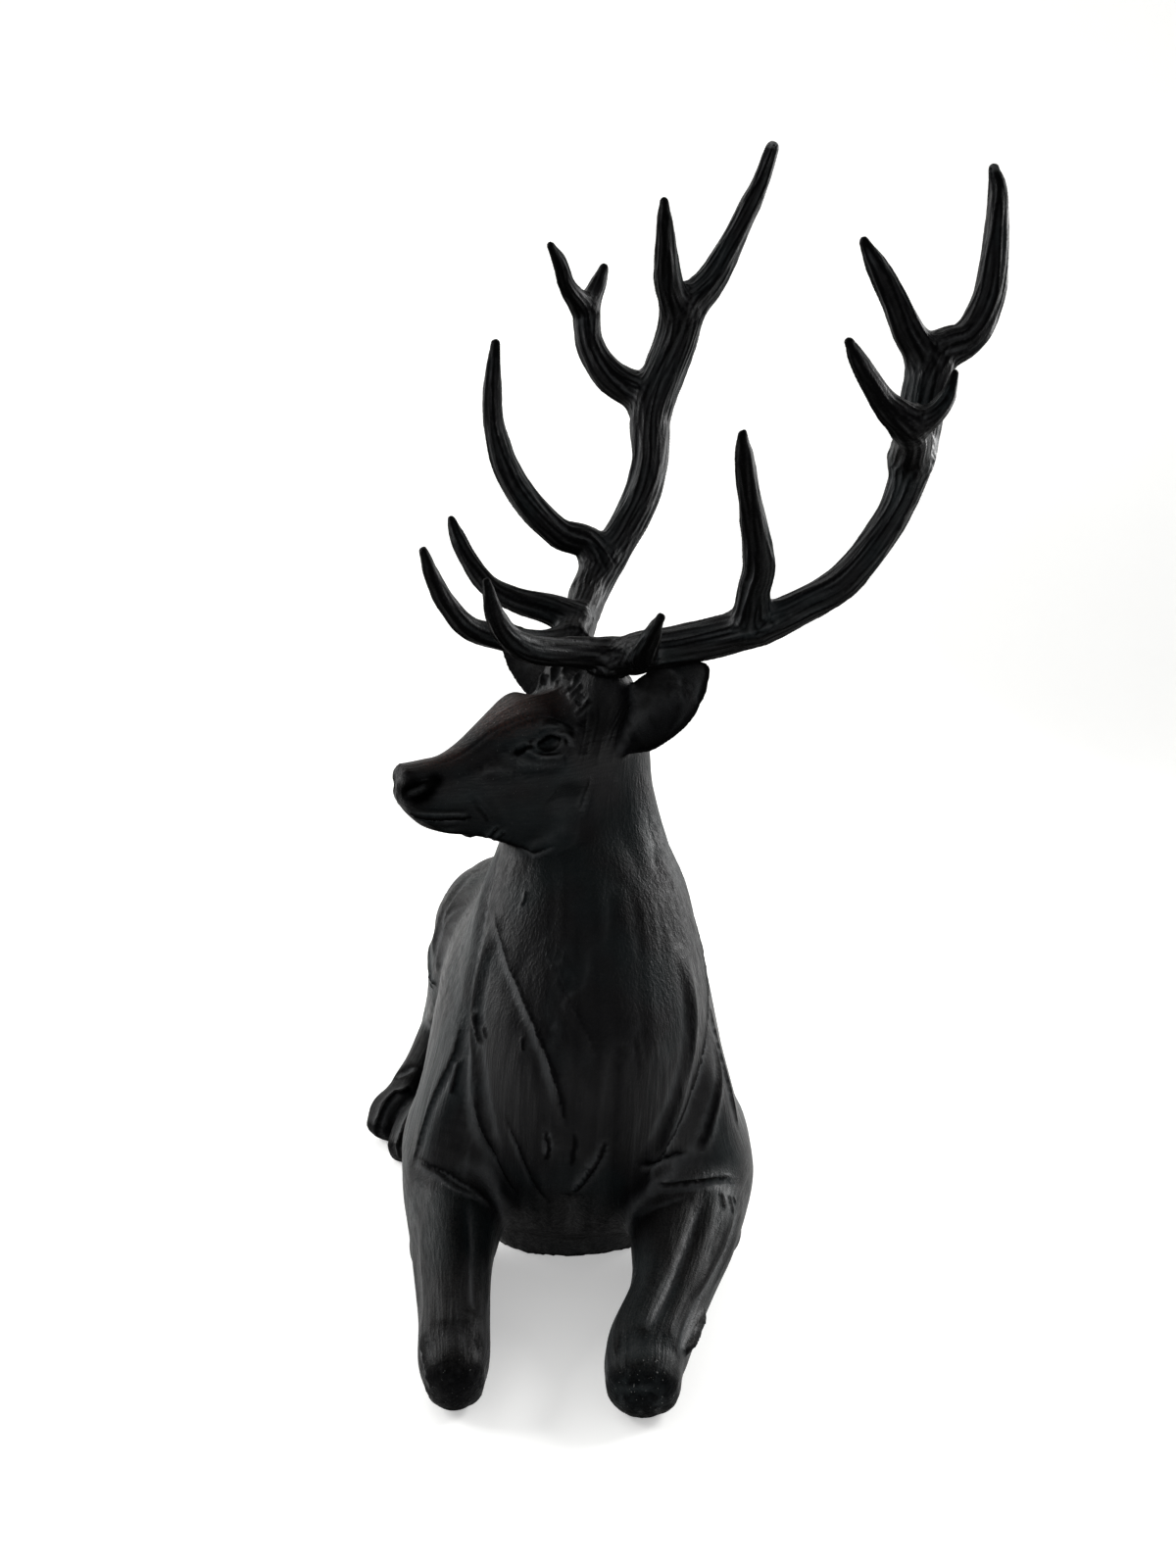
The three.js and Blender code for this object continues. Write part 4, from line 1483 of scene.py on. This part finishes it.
# %% From lines to a plain mesh
def line_object(rows, closed_line=False):
    """A curve object through rows of x, y, z and radius, in metres."""
    data = bpy.data.curves.new("line", "CURVE")
    data.dimensions = "3D"
    spline = data.splines.new("POLY")
    spline.points.add(len(rows) - 1)
    for point, (x, y, z, radius) in zip(spline.points, rows):
        point.co = (x, y, z, 1)
        point.radius = radius
    spline.use_cyclic_u = closed_line
    line = bpy.data.objects.new("line", data)
    bpy.context.scene.collection.objects.link(line)
    return line


def grown(line, tree, **inputs):
    """Points and triangles of what a node tree makes of a line. The line is used up."""
    modifier = line.modifiers.new("tree", "NODES")
    modifier.node_group = tree
    names = {s.name: s.identifier for s in tree.interface.items_tree if s.in_out == "INPUT"}
    for name, value in inputs.items():
        modifier[names[name.replace("_", " ")]] = value
    bpy.context.view_layer.update()
    mesh = bpy.data.meshes.new_from_object(line.evaluated_get(bpy.context.evaluated_depsgraph_get()))
    mesh.calc_loop_triangles()
    points = np.empty(len(mesh.vertices) * 3)
    mesh.vertices.foreach_get("co", points)
    triangles = np.empty(len(mesh.loop_triangles) * 3, int)
    mesh.loop_triangles.foreach_get("vertices", triangles)
    bpy.data.meshes.remove(mesh)
    bpy.data.objects.remove(line)
    return points.reshape(-1, 3), np.empty((0, 4), int), triangles.reshape(-1, 3)


def tine_rows(stations, steps=8):
    """A tine's line with a blunt round tip, in metres and in the body's frame."""
    rows = smooth_line(np.asarray(stations, float) * MM, steps)
    run = unit(rows[-1, :3] - rows[-2, :3])
    tip = [
        [*(rows[-1, :3] + run * rows[-1, 3] * math.sin(a)), rows[-1, 3] * math.cos(a)]
        for a in np.radians([25, 45, 62, 78])
    ]
    rows = np.vstack([rows, tip])
    origin, axes = HEAD
    rows[:, :3] = origin + rows[:, :3] @ axes.T
    return rows


def tine_spine(rows):
    """What the comb needs: the middle line, its directions and its girth."""
    middle = rows[:, :3]
    run = unit(np.gradient(middle, axis=0))
    rise = unit(np.array([0.3, -1, 0.1]) - (run @ [0.3, -1, 0.1])[:, None] * run)
    girth = np.maximum(rows[:, 3:], 4 * MM).repeat(2, axis=1)
    return {"middle": middle, "run": run, "rise": rise, "side": np.cross(rise, run), "girth": girth}


# %% Grow both antlers
BARK, PEARLS = bark_tree(), pearl_tree()
ANTLER_PAINT = painted_iron("satin_black_paint_on_antlers", chips=True)
CROTCH = 16 * MM  # the webs where tines part
TINE_VOXEL = 0.0018
TINE_BAND = 0.02
BURR_RADIUS = 31
PEARL_RING = 7  # mm above the foot of the antler
SEAT_REACH = 60  # mm from the burr's middle: what is further off may hang lower


def antler(side, seed):
    """One antler as clay, with what its paint needs."""
    low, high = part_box("antler_" + side)
    field = Field(low, high, TINE_VOXEL, TINE_BAND)
    spines = []
    for number, stations in enumerate(ANTLERS[side].values()):
        rows = tine_rows(stations)
        bark = grown(line_object(rows), BARK, Seed=seed + 1.7 * number, Iron=ANTLER_PAINT)
        field.melt(bark, CROTCH)
        spines.append(tine_spine(rows))
    x, y, z = PEDICLE[side]
    origin, axes = HEAD
    turns = np.radians(np.arange(0, 360, 10))
    ring = [x, y, z + PEARL_RING] + BURR_RADIUS * np.stack([np.cos(turns), np.sin(turns), turns * 0], 1)
    rows = np.hstack([origin + ring * MM @ axes.T, np.full((len(turns), 1), 6 * MM)])
    pearls = grown(line_object(rows, closed_line=True), PEARLS, Seed=int(seed), Iron=ANTLER_PAINT)
    field.melt(pearls, 3 * MM)
    plate = [[x, y, z + 1, 30, 30], [x, y, z + 8, 31, 31], [x, y, z + 15, 26, 26]]
    field.melt(limb(plate, up=(0, -1, 0), power=2, dome=0.1, frame_of=HEAD)[0], 4 * MM)
    points, quads = field.skin()
    triangles = np.vstack([quads[:, [0, 1, 2]], quads[:, [0, 2, 3]]])
    clay = Clay(points, triangles)
    clay.settle(2)
    fine = combed(points, spines, 3.2 * MM, 45 * MM, seed=int(seed) + 20)
    coarse = combed(points, spines, 7 * MM, 90 * MM, seed=int(seed) + 30)
    furrows = 1 - 2.4 * np.abs(coarse)  # sharp valleys between round ribs
    clay.points += clay.normals * ((0.6 * fine - 0.9 * furrows) * MM)[:, None]
    # Nothing may hang below the burr's flat seat.
    local = in_head(clay.points)
    near = np.hypot(*(local[:, :2] - [x, y]).T) < SEAT_REACH
    lift = np.where(near, np.clip(z + SEAM - local[:, 2], 0, None), 0)
    clay.points += np.outer(lift * MM, axes[:, 2])
    places, sure = limb_places(clay.points, spines)
    return clay, {"comb": fine, "limb_place": places, "limb_sure": sure}


ANTLER_SEEDS = {"left": 4.0, "right": 9.0}
antlers = {side: antler(side, seed) for side, seed in ANTLER_SEEDS.items()}
print("antlers:", {side: len(clay.triangles) for side, (clay, _) in antlers.items()}, "triangles")

# %% [markdown]
# ## The castings
#
# Each casting is one mesh, and a mesh has a limit of triangles. Decimation thins it to that limit:
# it keeps the points where the surface bends, and takes them from the flat planes.

# %% From clay to pieces
TRIANGLES = 195_000  # the most triangles a piece keeps after decimation; a piece has to stay under 200,000


def as_object(name, clay, stored_values, material):
    """A finished piece: smooth, thinned to the triangle limit, with what the paint needs."""
    mesh = bpy.data.meshes.new(name)
    mesh.from_pydata(clay.points.tolist(), [], clay.triangles.tolist())
    for label, values in stored_values.items():
        kind, field = ("FLOAT", "value") if values.ndim == 1 else ("FLOAT_VECTOR", "vector")
        mesh.attributes.new(label, kind, "POINT").data.foreach_set(field, values.astype(np.float32).ravel())
    mesh.materials.append(material)
    piece = bpy.data.objects.new(name, mesh)
    bpy.context.scene.collection.objects.link(piece)
    if len(mesh.polygons) > TRIANGLES:
        thin = piece.modifiers.new("thin", "DECIMATE")
        thin.ratio = TRIANGLES / len(mesh.polygons)
        bpy.context.view_layer.update()
        evaluated = piece.evaluated_get(bpy.context.evaluated_depsgraph_get())
        piece.data = bpy.data.meshes.new_from_object(evaluated)
        piece.modifiers.remove(thin)
    piece.data.shade_smooth()
    print(name, len(piece.data.polygons), "triangles")
    return piece


def patch(points, centre, radii, frame_of=HEAD):
    """1 in the middle of a round patch, fading to 0 at its edge. Sizes are in millimetres."""
    origin, axes = frame_of
    offset = ((points - origin) @ axes / MM - centre) / radii
    return np.clip(1.4 * (1 - np.linalg.norm(offset, axis=1)), 0, 1)


DEEP = 25  # mm: a line may run this far below the surface that it marks


def beside(points, line, reach):
    """1 on a line in the head's frame, fading to 0 at so many millimetres from it."""
    path = smooth_line(np.asarray(line, float)[:, :3], 8)
    local = in_head(points)
    share = np.zeros(len(points))
    near = np.where(((local > path.min(0) - DEEP) & (local < path.max(0) + DEEP)).all(1))[0]
    closest = ((local[near, None] - path[None]) ** 2).sum(2).argmin(0)
    path = local[near[closest]]  # the line, laid on the surface
    gap = np.sqrt(((local[near, None] - path[None]) ** 2).sum(2).min(1))
    share[near] = np.clip(1.5 * (1 - gap / reach), 0, 1)
    return share


# %% The body
KNEES = {"left": [55, -405, 40], "right": [-168, -385, 40]}
KNEE_PATCH = [60, 60, 70]
low, high = (np.array(corner) for corner in CAD_BOX)
stag.points[stag.points[:, 2] < 1 * MM, 2] = 0.0  # the flat underside
stag.points = np.clip(stag.points, low, high)
forehead = patch(stag.points, [0, -110, -60], [52, 110, 40])
nose_top = patch(stag.points, [0, -215, -112], [26, 70, 22])
knees = {side: patch(stag.points, middle, KNEE_PATCH, GROUND) for side, middle in KNEES.items()}
# Painted shade, near black: under the burrs, on the temples, and along the mouth, nostrils, tear ducts and
# lid gaps.
under_burrs = patch(stag.points, [0, 0, -22], [75, 52, 45])
temple = patch(stag.points, [66, -22, -70], [26, 26, 62])
painted_shade = np.maximum(0.5 * under_burrs, 0.7 * temple)
for line, reach in ((MOUTH, 5), (NOSTRIL, 14), (TEAR_DUCT, 5), (LID_GAP, 4)):
    for sign in (1, -1):
        painted_shade = np.maximum(painted_shade, beside(stag.points, mirrored(line, sign), reach))
for_paint = {
    "painted_shade": painted_shade,
    "comb": teeth * press,
    # How far a point stands over or under its neighbours: in the paint, polish plus a painted highlight on
    # ridges, and painted shade in hollows.
    "crest": rise_over_neighbours(stag, 8, 1.2 * MM),
    "limb_place": places,
    "limb_sure": sure,
    "bloom": np.maximum(forehead, 0.8 * nose_top),
    "specks": np.clip(0.5 * forehead + 0.12 * bare + knees["left"] + 0.3 * knees["right"], 0, 1),
}
body = as_object("stag_casting", stag, for_paint, painted_iron("satin_black_paint_on_body", rusts=True))
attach(body, "root")
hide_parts("stag_body")

# %% The antlers
CHIPPED = {"left": [198, 358, 672], "right": [-193, 352, 660]}  # the worn tip of each beam
CHIPPED_SHARE = {"left": 0.35, "right": 1.0}
for side, (clay, for_paint) in antlers.items():
    clay.points = np.clip(clay.points, low, high)
    # In the paint this gives polish plus a painted highlight on ridges, and painted shade in hollows.
    for_paint["crest"] = rise_over_neighbours(clay, 5, 0.5 * MM)
    for_paint["bare"] = CHIPPED_SHARE[side] * patch(clay.points, CHIPPED[side], [14, 14, 16])
    piece = as_object("antler_" + side + "_casting", clay, for_paint, ANTLER_PAINT)
    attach(piece, "root")
    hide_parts("antler_" + side)
